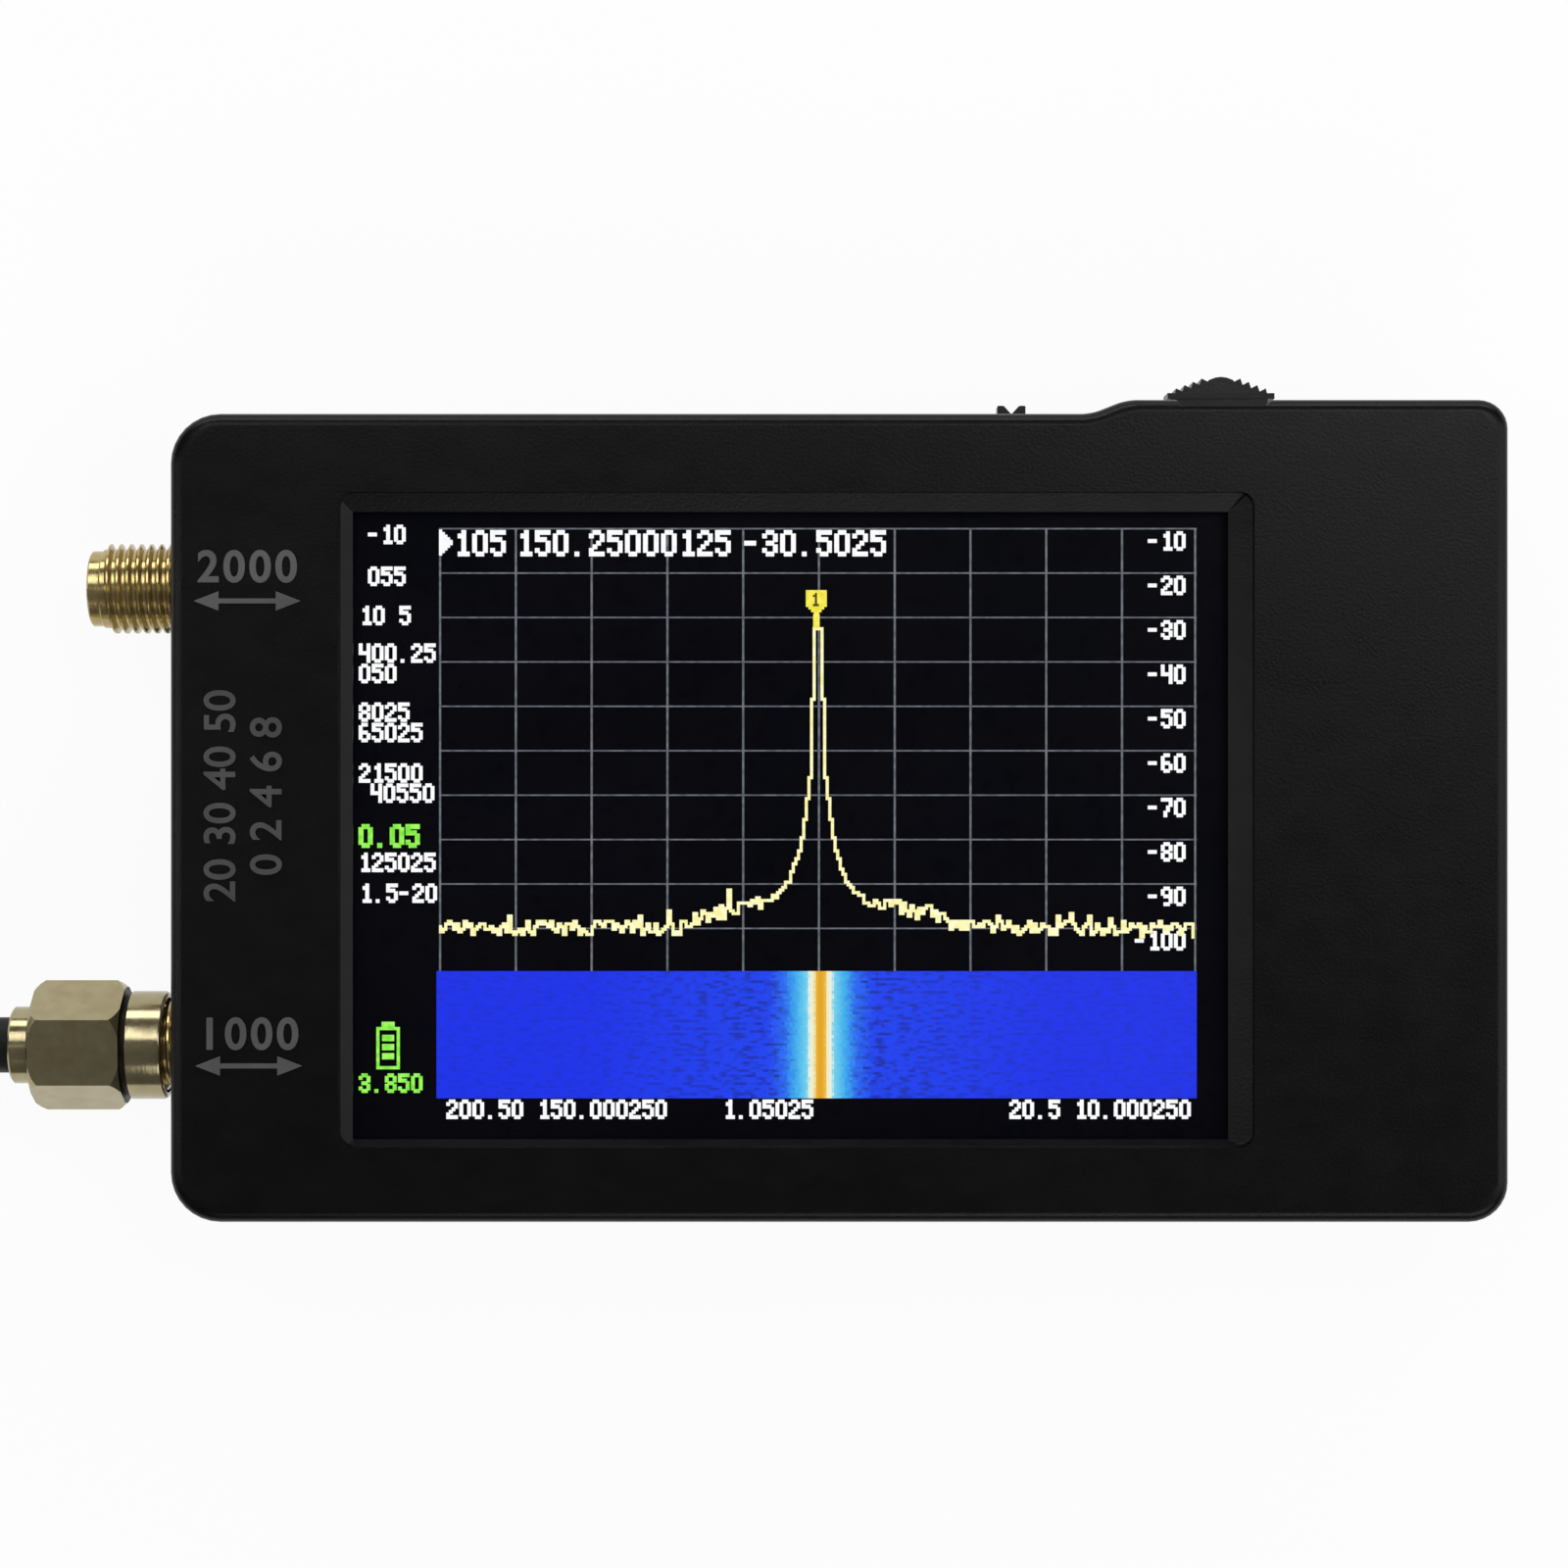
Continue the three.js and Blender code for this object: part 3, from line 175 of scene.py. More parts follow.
# Plugs, with lengths from the tip of the port that they seat on
NUT_TURNS = {"near": math.radians(26), "far": 0.0}
NUT_REAR = 3.88
NUT_SEAT = 1.78
NUT_FRONT = 5.33
NUT_BORE = 3.35
NUT_TAIL_BORE = 2.5
NUT_BEVEL = 0.12
HEX_FRONT = 2.42
HEX_HALF = 3.97
SLEEVE_RADIUS = 3.8
SLEEVE_CORNER = 3.72
GROOVE_RADIUS = 3.48
# Where each nut's groove gets its painted shade, as lengths from the tip of its port
PAINTED_SHADE_SPAN = (2.4, 2.77)
COLLAR_FRONT = 4.08
COLLAR_LENGTH = 1.46
COLLAR_RADIUS = 2.7
COLLAR_CHAMFER = 0.15
TAIL_LENGTH = 3.5
TAIL_RADIUS = 1.3
BODY_RADIUS = 2.2
BODY_BORE = 2
BODY_FLOOR = 1.5
BODY_FRONT = 1.75
RING_REAR = 1.9
RING_FRONT = 0.2
RING_RADIUS = 3.1
PIN_RADIUS = 0.42
PIN_REAR = 1.4
PIN_FRONT = 4.05
BOOT_FRONT = 5.64
BOOT_LENGTH = 10
BOOT_RADIUS = 1.95
BOOT_BORE = 1.4
BOOT_BORE_DEPTH = 3.6
FAR_TIP = -88.6
FAR_Y = 12.35
FAR_Z = 4.7

# Lead
LEAD_DIAMETER = 2.8
LYING_Z = LEAD_DIAMETER / 2 + 0.05
END_GAP = 0.3
TUCK = 0.5
DROP_START = 5.8
DROP_LENGTH = 21
RUN_LENGTH = 35.9
RUN_STEPS = 72
COIL_RADIUS = 14.2
COIL_TURNS = 1.5
COIL_STEPS = 108
COIL_STRAIGHT = 3
COIL_CLIMB = 3.25
CLIMB_START = 0.39
CLIMB_END = 0.58

# Controls and screws
JOG_X = 27.1
JOG_PIVOT_Y = 24.03
JOG_STEM_Z = 5.4
JOG_STEM_HEIGHT = 1.4
JOG_STEM_HALF = 1.4
JOG_HUB = 1.5
JOG_BORE = 0.85
JOG_CAP_Z = 4.7
JOG_CAP_HEIGHT = 2.8
CAP_BASE = 4.8
CAP_SHELF = 5.5
CAP_FAN = 5.9
CAP_TOP = 7.05
BASE_HALF = 3.3
SHELF_HALF = 3.775
FAN_HALF = 3.25
CROWN_HALF = 0.85
TEETH = 4
TOOTH = 0.22
RIDGE_DEPTH = 1
RIDGE_RISE = 0.02
RIDGE_LEAN = 0.08
KNOB_X = 12.35
KNOB_Z = 5.9
KNOB_HEIGHT = 1.6
KNOB_TIP = 29.13
KNOB_BACK = 23.4
KNOB_HALF = 1
KNOB_DENT_HALF = 0.55
KNOB_DENT = 0.6
CARRIER_FRONT = 25.1
CARRIER_HALF = 2.6
SLOT_BACK = 24.5
SLOT_FRONT = 30
JOG_SLOT = {"left": 2.32, "right": 2.32, "low": 5.1, "high": 7.1}
KNOB_SLOT = {"left": 1.3, "right": 3.3, "low": 4.8, "high": 7}
SOCKET_X = -2
SOCKET_Z = 5.87
SOCKET_HALF = 4.72
SOCKET_HALF_HEIGHT = 1.88
SOCKET_CORNER = 1.45
SCREW_PLACES = [(-39.65, -23.15), (39.65, -23.15), (39.65, 23.15), (-39.65, 23.15)]
HEAD_BORE = 2
HEAD_DEPTH = 1.5
CROSS_LONG = 1.05
CROSS_WIDE = 0.25
CROSS_DEPTH = 1.3

# A screw's heights and radii, from its head to its point
SCREW_PROFILE = [
    (0.6, 0), (0.6, 1.3), (0.66, 1.5), (0.8, 1.68), (1.0, 1.75), (1.9, 1.75), (1.9, 1), (12.6, 1),
    (13.2, 0.5), (13.2, 0),
]

# Marks on the case: the place of each arrow, the height of its number, and the number
PORT_MARKS = {"upper": (-40.3, 14.77, 17.0, "2000"), "lower": (-40.2, -16.87, -14.8, "1000")}
UPRIGHT_ROWS = {-42.05: "20 30 40 50", -38.9: "0 2 4 6 8"}
UPRIGHT_Y = 1.5
NUMBER_SIZE = 3
ARROW_HALF = 3.65
ARROW_HEAD = 1.7
HEAD_HALF = 0.66
SHAFT_HALF = 0.17


# Materials

def linear(red, green, blue):
    """A colour of 0 to 255 a channel, as linear light."""
    shares = (value / 255 for value in (red, green, blue))
    return tuple(((share + 0.055) / 1.055) ** 2.4 if share > 0.04 else share / 12.92 for share in shares)


def shader_of(material):
    return material.node_tree.nodes["Principled BSDF"]


def new_surface(name, color, roughness, others=None):
    """A new material, with any other values of its shader given by their names."""
    material = bpy.data.materials.new(name)
    material.use_nodes = True
    values = {"Base Color": (*color, 1), "Roughness": roughness, **(others or {})}
    for input_name, value in values.items():
        shader_of(material).inputs[input_name].default_value = value
    return material


def add_node(material, kind, inputs=None, **properties):
    """A new node whose inputs are set to values, or linked where they are given as outputs."""
    tree = material.node_tree
    node = tree.nodes.new(kind)
    for name, value in properties.items():
        setattr(node, name, value)
    for name, value in (inputs or {}).items():
        if isinstance(value, bpy.types.NodeSocket):
            tree.links.new(value, node.inputs[name])
        else:
            node.inputs[name].default_value = value
    return node


def link(material, output, input_name):
    material.node_tree.links.new(output, shader_of(material).inputs[input_name])


def object_place(material):
    return add_node(material, "ShaderNodeTexCoord").outputs["Object"]


def compute(material, operation, first, second=0.0):
    node = add_node(material, "ShaderNodeMath", {0: first, 1: second}, operation=operation)
    return node.outputs["Value"]


def remap(material, value, source=(0, 1), target=(0, 1)):
    """A value moved from one span to another and kept within it."""
    node = add_node(material, "ShaderNodeMapRange", {
        "Value": value, "From Min": source[0], "From Max": source[1],
        "To Min": target[0], "To Max": target[1],
    })
    return node.outputs["Result"]


def noise(material, place, scale, detail):
    """A noise over a place whose axes are scaled first."""
    mapped = add_node(material, "ShaderNodeMapping", {"Vector": place, "Scale": scale})
    node = add_node(
        material, "ShaderNodeTexNoise",
        {"Vector": mapped.outputs["Vector"], "Scale": 1.0, "Detail": detail},
    )
    return node.outputs["Fac"]


def grain(material, feature, detail, stretch=(1, 1, 1)):
    """A noise whose features are that many millimetres across, drawn out by stretch."""
    scale = [1 / (METRE * feature * along) for along in stretch]
    return noise(material, object_place(material), scale, detail)


def color_ramp(material, value, stops):
    """Colours along a value, from stops of position and colour."""
    ramp = add_node(material, "ShaderNodeValToRGB", {"Fac": value})
    elements = ramp.color_ramp.elements
    while len(elements) < len(stops):
        elements.new(1.0)
    for element, (position, color) in zip(elements, stops):
        element.position = position
        element.color = (*color, 1)
    return ramp.outputs["Color"]


def tint(material, value, dark, pale, low=0.35, high=0.65, input_name="Base Color"):
    """Colours a surface between two colours by a value."""
    link(material, color_ramp(material, value, [(low, dark), (high, pale)]), input_name)


def vary_roughness(material, value, low, high):
    link(material, remap(material, value, (0.3, 0.7), (low, high)), "Roughness")


def add_bump(material, value, depth):
    """Raises the surface by a value, as far as depth in millimetres."""
    bump = add_node(material, "ShaderNodeBump", {"Height": value, "Distance": depth * METRE})
    link(material, bump.outputs["Normal"], "Normal")


# Each kind of finish: how metallic it is, the grain of its tone, of its rubbed patches and of its
# relief, and the relief's depth in millimetres
KINDS = {
    "plastic": (0, (7, 3), (1.8, 4, (1.6, 1, 1)), (0.22, 3), 0.012),
    "rubber": (0, (3, 3), (0.8, 3), (0.18, 2), 0.015),
    "sheet": (1, (2.5, 4), (0.3, 3, (6, 1, 1)), (0.2, 2, (8, 1, 1)), 0.006),
    "plated": (0.85, (1.4, 3), (0.5, 3), (0.35, 2, (0.12, 8, 8)), 0.004),
}


def finished(name, kind, dark, pale, smooth, dull, shine=0.5):
    """A surface with soft tone changes, rubbed patches and a fine relief."""
    metallic, tone, patches, relief, depth = KINDS[kind]
    others = {"Metallic": metallic, "Specular IOR Level": shine}
    material = new_surface(name, linear(*dark), smooth, others)
    tint(material, grain(material, *tone), linear(*dark), linear(*pale))
    vary_roughness(material, grain(material, *patches), smooth, dull)
    add_bump(material, grain(material, *relief), depth)
    return material


def glowing(name, dark, pale):
    """A lit part of the display, whose light flickers a little from dot to dot."""
    material = new_surface(name, (0, 0, 0), 0.4, {"Emission Strength": LIGHT_STRENGTH})
    flicker = grain(material, 0.5, 1)
    tint(material, flicker, linear(*dark), linear(*pale), input_name="Emission Color")
    return material


def touch_film():
    material = new_surface("touch_film", linear(14, 14, 20), 0.06, {"Alpha": FILM_SHARE})
    vary_roughness(material, grain(material, 2.2, 4, (3, 1, 1)), 0.04, 0.09)
    tint(material, grain(material, 12, 2), linear(10, 10, 15), linear(22, 20, 30))
    return material


def display_dark():
    """The unlit part of the display, which still glows a faint violet."""
    others = {"Specular IOR Level": 0.04, "Emission Strength": 1}
    material = new_surface("display_dark", linear(4, 4, 6), 0.3, others)
    tint(material, grain(material, 9, 2), linear(0, 1, 5), linear(3, 2, 5), input_name="Emission Color")
    vary_roughness(material, grain(material, 1.5, 3), 0.25, 0.35)
    return material


def board_green():
    material = new_surface("board_green", linear(24, 74, 52), 0.4)
    tracks = grain(material, 1.1, 1, (5, 1, 1))
    tint(material, tracks, linear(16, 58, 38), linear(34, 92, 62), 0.47, 0.53)
    vary_roughness(material, grain(material, 2, 3), 0.35, 0.5)
    add_bump(material, tracks, 0.02)
    return material


def waterfall_dots(material):
    """The display's dots under the waterfall, and how far each is from the bright line."""
    dot = DOT * METRE
    steps = {0: object_place(material), 1: (dot, dot, 1)}
    dots = add_node(material, "ShaderNodeVectorMath", steps, operation="SNAP").outputs["Vector"]
    across = add_node(material, "ShaderNodeSeparateXYZ", {"Vector": dots})
    middle = screen_point(PEAK_COLUMN + 0.5, 0)[0] * METRE + CASE_MIDDLE.x
    offset = compute(material, "SUBTRACT", across.outputs["X"], middle)
    distance = compute(material, "ABSOLUTE", offset)
    speckle = add_node(material, "ShaderNodeTexWhiteNoise", {"Vector": dots})
    sway = remap(material, speckle.outputs["Value"], target=(0.92, 1.08))
    shaken = compute(material, "MULTIPLY", distance, sway)
    return dots, remap(material, shaken, (0, WATERFALL_FADE * dot))


def waterfall_mottle(material, dots, share):
    """How bright each dot is: darker dashes, strongest near the bright line."""
    dash = DOT * METRE
    dashes = noise(material, dots, (0.22 / dash, 0.8 / dash, 1), 1)
    hollow = remap(material, dashes, (0.34, 0.52), (0.34, 1))
    depth = color_ramp(material, share, [
        (0.0, (0, 0, 0)), (0.1, (0, 0, 0)), (0.19, (0.9, 0.9, 0.9)), (0.55, (0.6, 0.6, 0.6)),
        (1.0, (0.25, 0.25, 0.25)),
    ])
    blend = {"Factor": depth, "A": 1.0, "B": hollow}
    return add_node(material, "ShaderNodeMix", blend, data_type="FLOAT").outputs["Result"]


def waterfall_surface():
    """Blue noise with a bright line down its middle, in the display's own dots."""
    material = new_surface("waterfall_light", (0, 0, 0), 0.4, {"Emission Strength": 1})
    dots, share = waterfall_dots(material)
    base = color_ramp(material, share, [
        (0.0, linear(240, 166, 24)), (0.019, linear(248, 190, 40)), (0.028, linear(255, 250, 190)),
        (0.045, linear(250, 255, 245)), (0.056, linear(120, 222, 248)), (0.1, linear(62, 184, 250)),
        (0.15, linear(34, 112, 255)), (0.22, linear(14, 66, 255)), (1.0, linear(4, 44, 246)),
    ])
    product = {0: base, 1: waterfall_mottle(material, dots, share)}
    lit = add_node(material, "ShaderNodeVectorMath", product, operation="MULTIPLY")
    link(material, lit.outputs["Vector"], "Emission Color")
    return material


def screen_point(column, row):
    """The place on the display of a dot's lower left corner, counted from the top left."""
    left = SCREEN_X - SCREEN_COLUMNS * DOT / 2
    top = SCREEN_Y + SCREEN_ROWS * DOT / 2
    return left + column * DOT, top - row * DOT


# Each plain finish: its kind, its dark and pale colours, its roughness and any shine
FINISHES = {
    "case_plastic": ("plastic", (7, 7, 7), (9, 9, 9), 0.27, 0.33, 0.15),
    "control_plastic": ("plastic", (13, 13, 14), (19, 19, 20), 0.3, 0.4, 0.25),
    # The raised port marks are moulded in the case's black plastic, and their grey colour is painted
    # sheen: the light their smoother faces catch
    "mark_plastic": ("plastic", (74, 74, 74), (88, 88, 88), 0.34, 0.46, 0.3),
    "faint_mark_plastic": ("plastic", (60, 60, 60), (74, 74, 74), 0.34, 0.46, 0.3),
    "white_plastic": ("plastic", (222, 220, 212), (236, 234, 228), 0.4, 0.5),
    "white_insulator": ("plastic", (226, 224, 216), (240, 239, 233), 0.45, 0.6),
    "amber_film": ("plastic", (150, 92, 26), (176, 112, 38), 0.25, 0.4),
    "chip_resin": ("plastic", (20, 20, 21), (32, 32, 33), 0.5, 0.65),
    "grey_foam": ("rubber", (50, 50, 52), (70, 70, 72), 0.85, 0.95),
    "red_wire": ("rubber", (150, 20, 18), (178, 32, 26), 0.4, 0.55),
    "black_wire": ("rubber", (16, 16, 16), (28, 28, 28), 0.4, 0.55),
    "boot_sleeve": ("rubber", (6, 6, 6), (11, 11, 11), 0.42, 0.58, 0.2),
    "lead_jacket": ("rubber", (10, 10, 10), (17, 17, 17), 0.45, 0.6, 0.3),
    "screw_steel": ("sheet", (40, 40, 42), (62, 62, 64), 0.3, 0.45),
    "stamped_steel": ("sheet", (150, 150, 152), (186, 187, 189), 0.28, 0.42),
    "battery_wrap": ("sheet", (170, 172, 175), (200, 202, 204), 0.3, 0.5),
    "port_gold": ("plated", (170, 151, 102), (188, 169, 118), 0.14, 0.22),
    "plug_nickel": ("plated", (158, 147, 112), (168, 158, 124), 0.12, 0.2),
    # A dark finish that paints the shade of each nut's groove into its colour
    "groove_painted_shade": ("plated", (24, 21, 15), (34, 30, 22), 0.4, 0.55),
}
SURFACES = {name: finished(name, *values) for name, values in FINISHES.items()}
SURFACES["touch_film"] = touch_film()
SURFACES["display_screen"] = display_dark()
SURFACES["board_laminate"] = board_green()

# Each lit colour of the display, at its darkest and palest
LIGHTS = {
    "grid": ((80, 85, 94), (108, 113, 122)),
    "white": ((244, 245, 247), (255, 255, 255)),
    "green": ((120, 226, 60), (160, 250, 96)),
    "yellow": ((248, 240, 160), (255, 253, 206)),
    "flag": ((236, 222, 48), (250, 240, 90)),
    "dark": ((60, 54, 10), (80, 72, 16)),
}
INKS = {name: glowing(f"{name}_light", *colors) for name, colors in LIGHTS.items()}


# Shapes

def add_object(name, data):
    piece = bpy.data.objects.new(name, data)
    bpy.context.scene.collection.objects.link(piece)
    return piece


def loose_object(bm, name="helper"):
    mesh = bpy.data.meshes.new(name)
    bm.to_mesh(mesh)
    bm.free()
    return add_object(name, mesh)


def evaluated_shape(piece):
    """What a text or a piece with modifiers comes to, as a shape."""
    bpy.context.view_layer.update()
    evaluated = piece.evaluated_get(bpy.context.evaluated_depsgraph_get())
    bm = bmesh.new()
    bm.from_mesh(evaluated.to_mesh())
    evaluated.to_mesh_clear()
    return bm


def face_outwards(bm):
    bmesh.ops.recalc_face_normals(bm, faces=bm.faces)


def round_off(bm, geom, radius, segments, affect):
    bmesh.ops.bevel(
        bm, geom=geom, offset=radius, offset_type="OFFSET", segments=segments, profile=0.5,
        affect=affect, material=-1,
    )


def carve(bm, others, operation="DIFFERENCE"):
    """The first shape cut by the others, or joined to them."""
    target = loose_object(bm)
    helpers = [loose_object(other) for other in others]
    for helper in helpers:
        modifier = target.modifiers.new("carve", "BOOLEAN")
        modifier.operation = operation
        modifier.object = helper
        modifier.solver = "EXACT"
    result = evaluated_shape(target)
    for piece in [target, *helpers]:
        mesh = piece.data
        bpy.data.objects.remove(piece)
        bpy.data.meshes.remove(mesh)
    return result


def mark_edges(bm, sharp_degrees):
    """Smooths every face and keeps the edges that turn by more than an angle."""
    limit = math.radians(sharp_degrees)
    for face in bm.faces:
        face.smooth = True
    for edge in bm.edges:
        edge.smooth = len(edge.link_faces) == 2 and edge.calc_face_angle() < limit


def finish_piece(name, bm, node, material=None, sharp=32, bevel=0.0):
    """Puts a shape on the body of its CAD node, in the finish of that node's slot.

    It takes the node's place and finish, unless it comes with a finish of its own.
    """
    bmesh.ops.scale(bm, vec=(METRE, METRE, METRE), verts=bm.verts)
    bmesh.ops.translate(bm, vec=CASE_MIDDLE, verts=bm.verts)
    mark_edges(bm, sharp)
    piece = loose_object(bm, name)
    piece.data.materials.append(material or SURFACES[NODE_SLOTS[node]])
    if bevel:
        rounding = piece.modifiers.new("rounding", "BEVEL")
        rounding.width = bevel * METRE
        rounding.segments = 2
        rounding.limit_method = "ANGLE"
        rounding.angle_limit = math.radians(sharp)
    flat = piece.modifiers.new("flat_faces", "WEIGHTED_NORMAL")
    flat.keep_sharp = True
    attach(piece, NODE_BODIES[node])
    if material is None:
        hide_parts(node)
    return piece


def rounded_face(bm, corners, z, segments=8):
    """A level face with corners of their own radii, given as x, y and radius."""
    known = set(bm.faces)
    verts = [bm.verts.new((x, y, z)) for x, y, _ in corners]
    bm.faces.new(verts)
    for vert, (_, _, radius) in zip(verts, corners):
        if radius:
            round_off(bm, [vert], radius, segments, "VERTICES")
    return next(face for face in bm.faces if face not in known)


def lift(bm, face, height):
    """Draws a face up into walls and gives the face at their far end."""
    grown = bmesh.ops.extrude_face_region(bm, geom=[face])["geom"]
    verts = [item for item in grown if isinstance(item, bmesh.types.BMVert)]
    bmesh.ops.translate(bm, vec=(0, 0, height), verts=verts)
    return next(item for item in grown if isinstance(item, bmesh.types.BMFace))


def drop_faces(bm, faces):
    bmesh.ops.delete(bm, geom=[face for face in faces if face.is_valid], context="FACES_ONLY")


def fill_level(bm, z):
    """Closes the gap between the open rims that lie at one height."""
    rims = [
        edge for edge in bm.edges
        if edge.is_boundary and all(abs(vert.co.z - z) < 0.001 for vert in edge.verts)
    ]
    bmesh.ops.triangle_fill(bm, edges=rims, use_beauty=True)


def round_rim(bm, face, radius):
    """Rounds the edges of a level face and gives what is left of it."""
    z = face.calc_center_median().z
    round_off(bm, list(face.edges), radius, 5, "EDGES")
    level = [item for item in bm.faces if abs(item.calc_center_median().z - z) < 0.001]
    return max(level, key=lambda item: item.calc_area())


def add_box(bm, low, high):
    size = Vector(high) - Vector(low)
    middle = (Vector(high) + Vector(low)) / 2
    bmesh.ops.create_cube(bm, size=1, matrix=Matrix.Translation(middle) @ Matrix.Diagonal((*size, 1)))


def solid_box(low, high):
    bm = bmesh.new()
    add_box(bm, low, high)
    return bm


def rod(radius, length, place, sides):
    bm = bmesh.new()
    bmesh.ops.create_cone(
        bm, cap_ends=True, segments=sides, radius1=radius, radius2=radius, depth=length, matrix=place,
    )
    return bm


def rod_along_x(radius, low, high, y, z, sides=64, turn=0.0):
    """A rod or, with few sides, a bar, whose first corner is turned from +Z towards +Y."""
    place = Matrix.Translation(((low + high) / 2, y, z))
    aim = Matrix.Rotation(math.pi / 2 - turn, 4, "X") @ Matrix.Rotation(math.pi / 2, 4, "Y")
    return rod(radius, high - low, place @ aim, sides)


def rod_up(radius, low, high, x, y):
    return rod(radius, high - low, Matrix.Translation((x, y, (low + high) / 2)), 48)


def turned(profile, y, z, steps=64):
    """A profile of x and radius, turned about a line along X."""
    bm = bmesh.new()
    verts = [bm.verts.new((x, y + radius, z)) for x, radius in profile]
    edges = [bm.edges.new(pair) for pair in zip(verts, verts[1:])]
    bmesh.ops.spin(
        bm, geom=verts + edges, cent=(0, y, z), axis=(1, 0, 0), dvec=(0, 0, 0),
        angle=2 * math.pi, steps=steps, use_merge=True,
    )
    bmesh.ops.remove_doubles(bm, verts=bm.verts, dist=0.0005)
    face_outwards(bm)
    return bm


def slab(points, low, high):
    """A level outline with sharp corners, drawn up between two heights."""
    bm = bmesh.new()
    face = rounded_face(bm, [(x, y, 0) for x, y in points], low)
    lift(bm, face, high - low)
    face_outwards(bm)
    return bm


def merged(shapes):
    """Several shapes as one, each still closed by itself."""
    whole = bmesh.new()
    for shape in shapes:
        mesh = bpy.data.meshes.new("part")
        shape.to_mesh(mesh)
        shape.free()
        whole.from_mesh(mesh)
        bpy.data.meshes.remove(mesh)
    return whole


# Camera, light and floor

def place_camera():
    data = bpy.data.cameras.new("camera")
    data.sensor_width = SENSOR
    data.lens = SENSOR * VIEW_DISTANCE / VIEW_WIDTH
    data.clip_start = 0.01
    data.clip_end = 20
    camera = add_object("camera", data)
    camera.location = (VIEW_X, VIEW_Y, VIEW_HEIGHT)
    bpy.context.scene.camera = camera


def place_lamp(name, place, width, height, power):
    data = bpy.data.lights.new(name, "AREA")
    data.shape = "RECTANGLE"
    data.size = width
    data.size_y = height
    data.energy = power
    lamp = add_object(name, data)
    lamp.location = place
    lamp.rotation_euler = (-Vector(place)).to_track_quat("-Z", "Y").to_euler()


def seen_directly(material):
    """1 for what the camera sees itself, in a mirror or through glass."""
    path = add_node(material, "ShaderNodeLightPath").outputs
    first = compute(material, "MAXIMUM", path["Is Camera Ray"], path["Is Glossy Ray"])
    return compute(material, "MAXIMUM", first, path["Is Transmission Ray"])


def place_floor():
    bm = bmesh.new()
    place = Matrix.Translation((0, 0, -FLOOR_GAP))
    bmesh.ops.create_grid(bm, x_segments=1, y_segments=1, size=FLOOR_SIZE, matrix=place)
    floor = loose_object(bm, "floor")
    material = new_surface("pale_floor", (0.93, 0.93, 0.93), 0.7)
    tint(material, grain(material, 60, 2), (0.92, 0.92, 0.92), (0.95, 0.95, 0.95))
    glow = add_node(material, "ShaderNodeEmission", {"Color": (1, 1, 1, 1), "Strength": 1.0})
    share = compute(material, "MULTIPLY", seen_directly(material), FLOOR_GLOW)
    blend = add_node(material, "ShaderNodeMixShader", {0: share})
    tree = material.node_tree
    tree.links.new(shader_of(material).outputs["BSDF"], blend.inputs[1])
    tree.links.new(glow.outputs["Emission"], blend.inputs[2])
    tree.links.new(blend.outputs["Shader"], tree.nodes["Material Output"].inputs["Surface"])
    floor.data.materials.append(material)


def light_world():
    world = bpy.data.worlds.new("studio")
    bpy.context.scene.world = world
    world.use_nodes = True
    ground = world.node_tree.nodes["Background"]
    ground.inputs["Color"].default_value = (1, 0.98, 0.95, 1)
    ground.inputs["Strength"].default_value = 0.11


def light_studio():
    light_world()
    place_lamp("key_light", (0.2, 0.24, 0.8), 0.34, 0.24, 1.0)
    place_lamp("plug_light", (-0.235, 0.44, 0.8), 0.13, 0.5, 0.95)
    place_lamp("back_light", (0.0, 0.9, 0.3), 1.4, 0.3, 5.5)
    place_lamp("right_light", (0.68, 0.0, 0.53), 0.5, 0.9, 2.6)
    place_lamp("left_light", (-0.62, 0.0, 0.56), 0.14, 0.9, 1.0)
    place_lamp("front_light", (0.22, -0.62, 0.58), 0.7, 0.3, 1.9)


# The lead

def lead_path():
    """The lead's centreline in millimetres, from inside the near boot to inside the far one."""
    lead_y = PORT_YS["lower"]
    run_start = PORT_TIP - BOOT_FRONT - BOOT_LENGTH - END_GAP
    points = [Vector((run_start + END_GAP + TUCK, lead_y, PORT_Z))]
    for step in range(RUN_STEPS + 1):
        distance = RUN_LENGTH * step / RUN_STEPS
        fall = min(max((distance - DROP_START) / DROP_LENGTH, 0), 1)
        share = (1 + math.cos(math.pi * fall)) / 2
        points.append(Vector((run_start - distance, lead_y, LYING_Z + share * (PORT_Z - LYING_Z))))
    coil_start = run_start - RUN_LENGTH - END_GAP
    middle_x = coil_start - COIL_STRAIGHT
    for step in range(COIL_STEPS + 1):
        turn = step / COIL_STEPS
        angle = -math.pi / 2 - turn * COIL_TURNS * 2 * math.pi
        climb = min(max((turn - CLIMB_START) / (CLIMB_END - CLIMB_START), 0), 1)
        climb = climb * climb * (3 - 2 * climb)
        points.append(Vector((
            middle_x + COIL_RADIUS * math.cos(angle),
            lead_y + COIL_RADIUS + COIL_RADIUS * math.sin(angle),
            LYING_Z + climb * COIL_CLIMB,
        )))
    end = points[-1]
    points.append(end + Vector((COIL_STRAIGHT, 0, 0)))
    points.append(end + Vector((COIL_STRAIGHT + END_GAP + TUCK, 0, 0)))
    return points


def make_lead():
    path = lead_path()
    curve = bpy.data.curves.new("lead_cord", "CURVE")
    curve.dimensions = "3D"
    curve.bevel_depth = LEAD_DIAMETER / 2 * METRE
    curve.bevel_resolution = 8
    curve.use_fill_caps = True
    spline = curve.splines.new("POLY")
    spline.points.add(len(path) - 1)
    for point, place in zip(spline.points, path):
        point.co = (*(place * METRE + CASE_MIDDLE), 1)
    cord = add_object("lead_cord", curve)
    curve.materials.append(SURFACES["lead_jacket"])
    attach(cord, "lead")
    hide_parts("lead_run", "lead_coil")


# Plugs

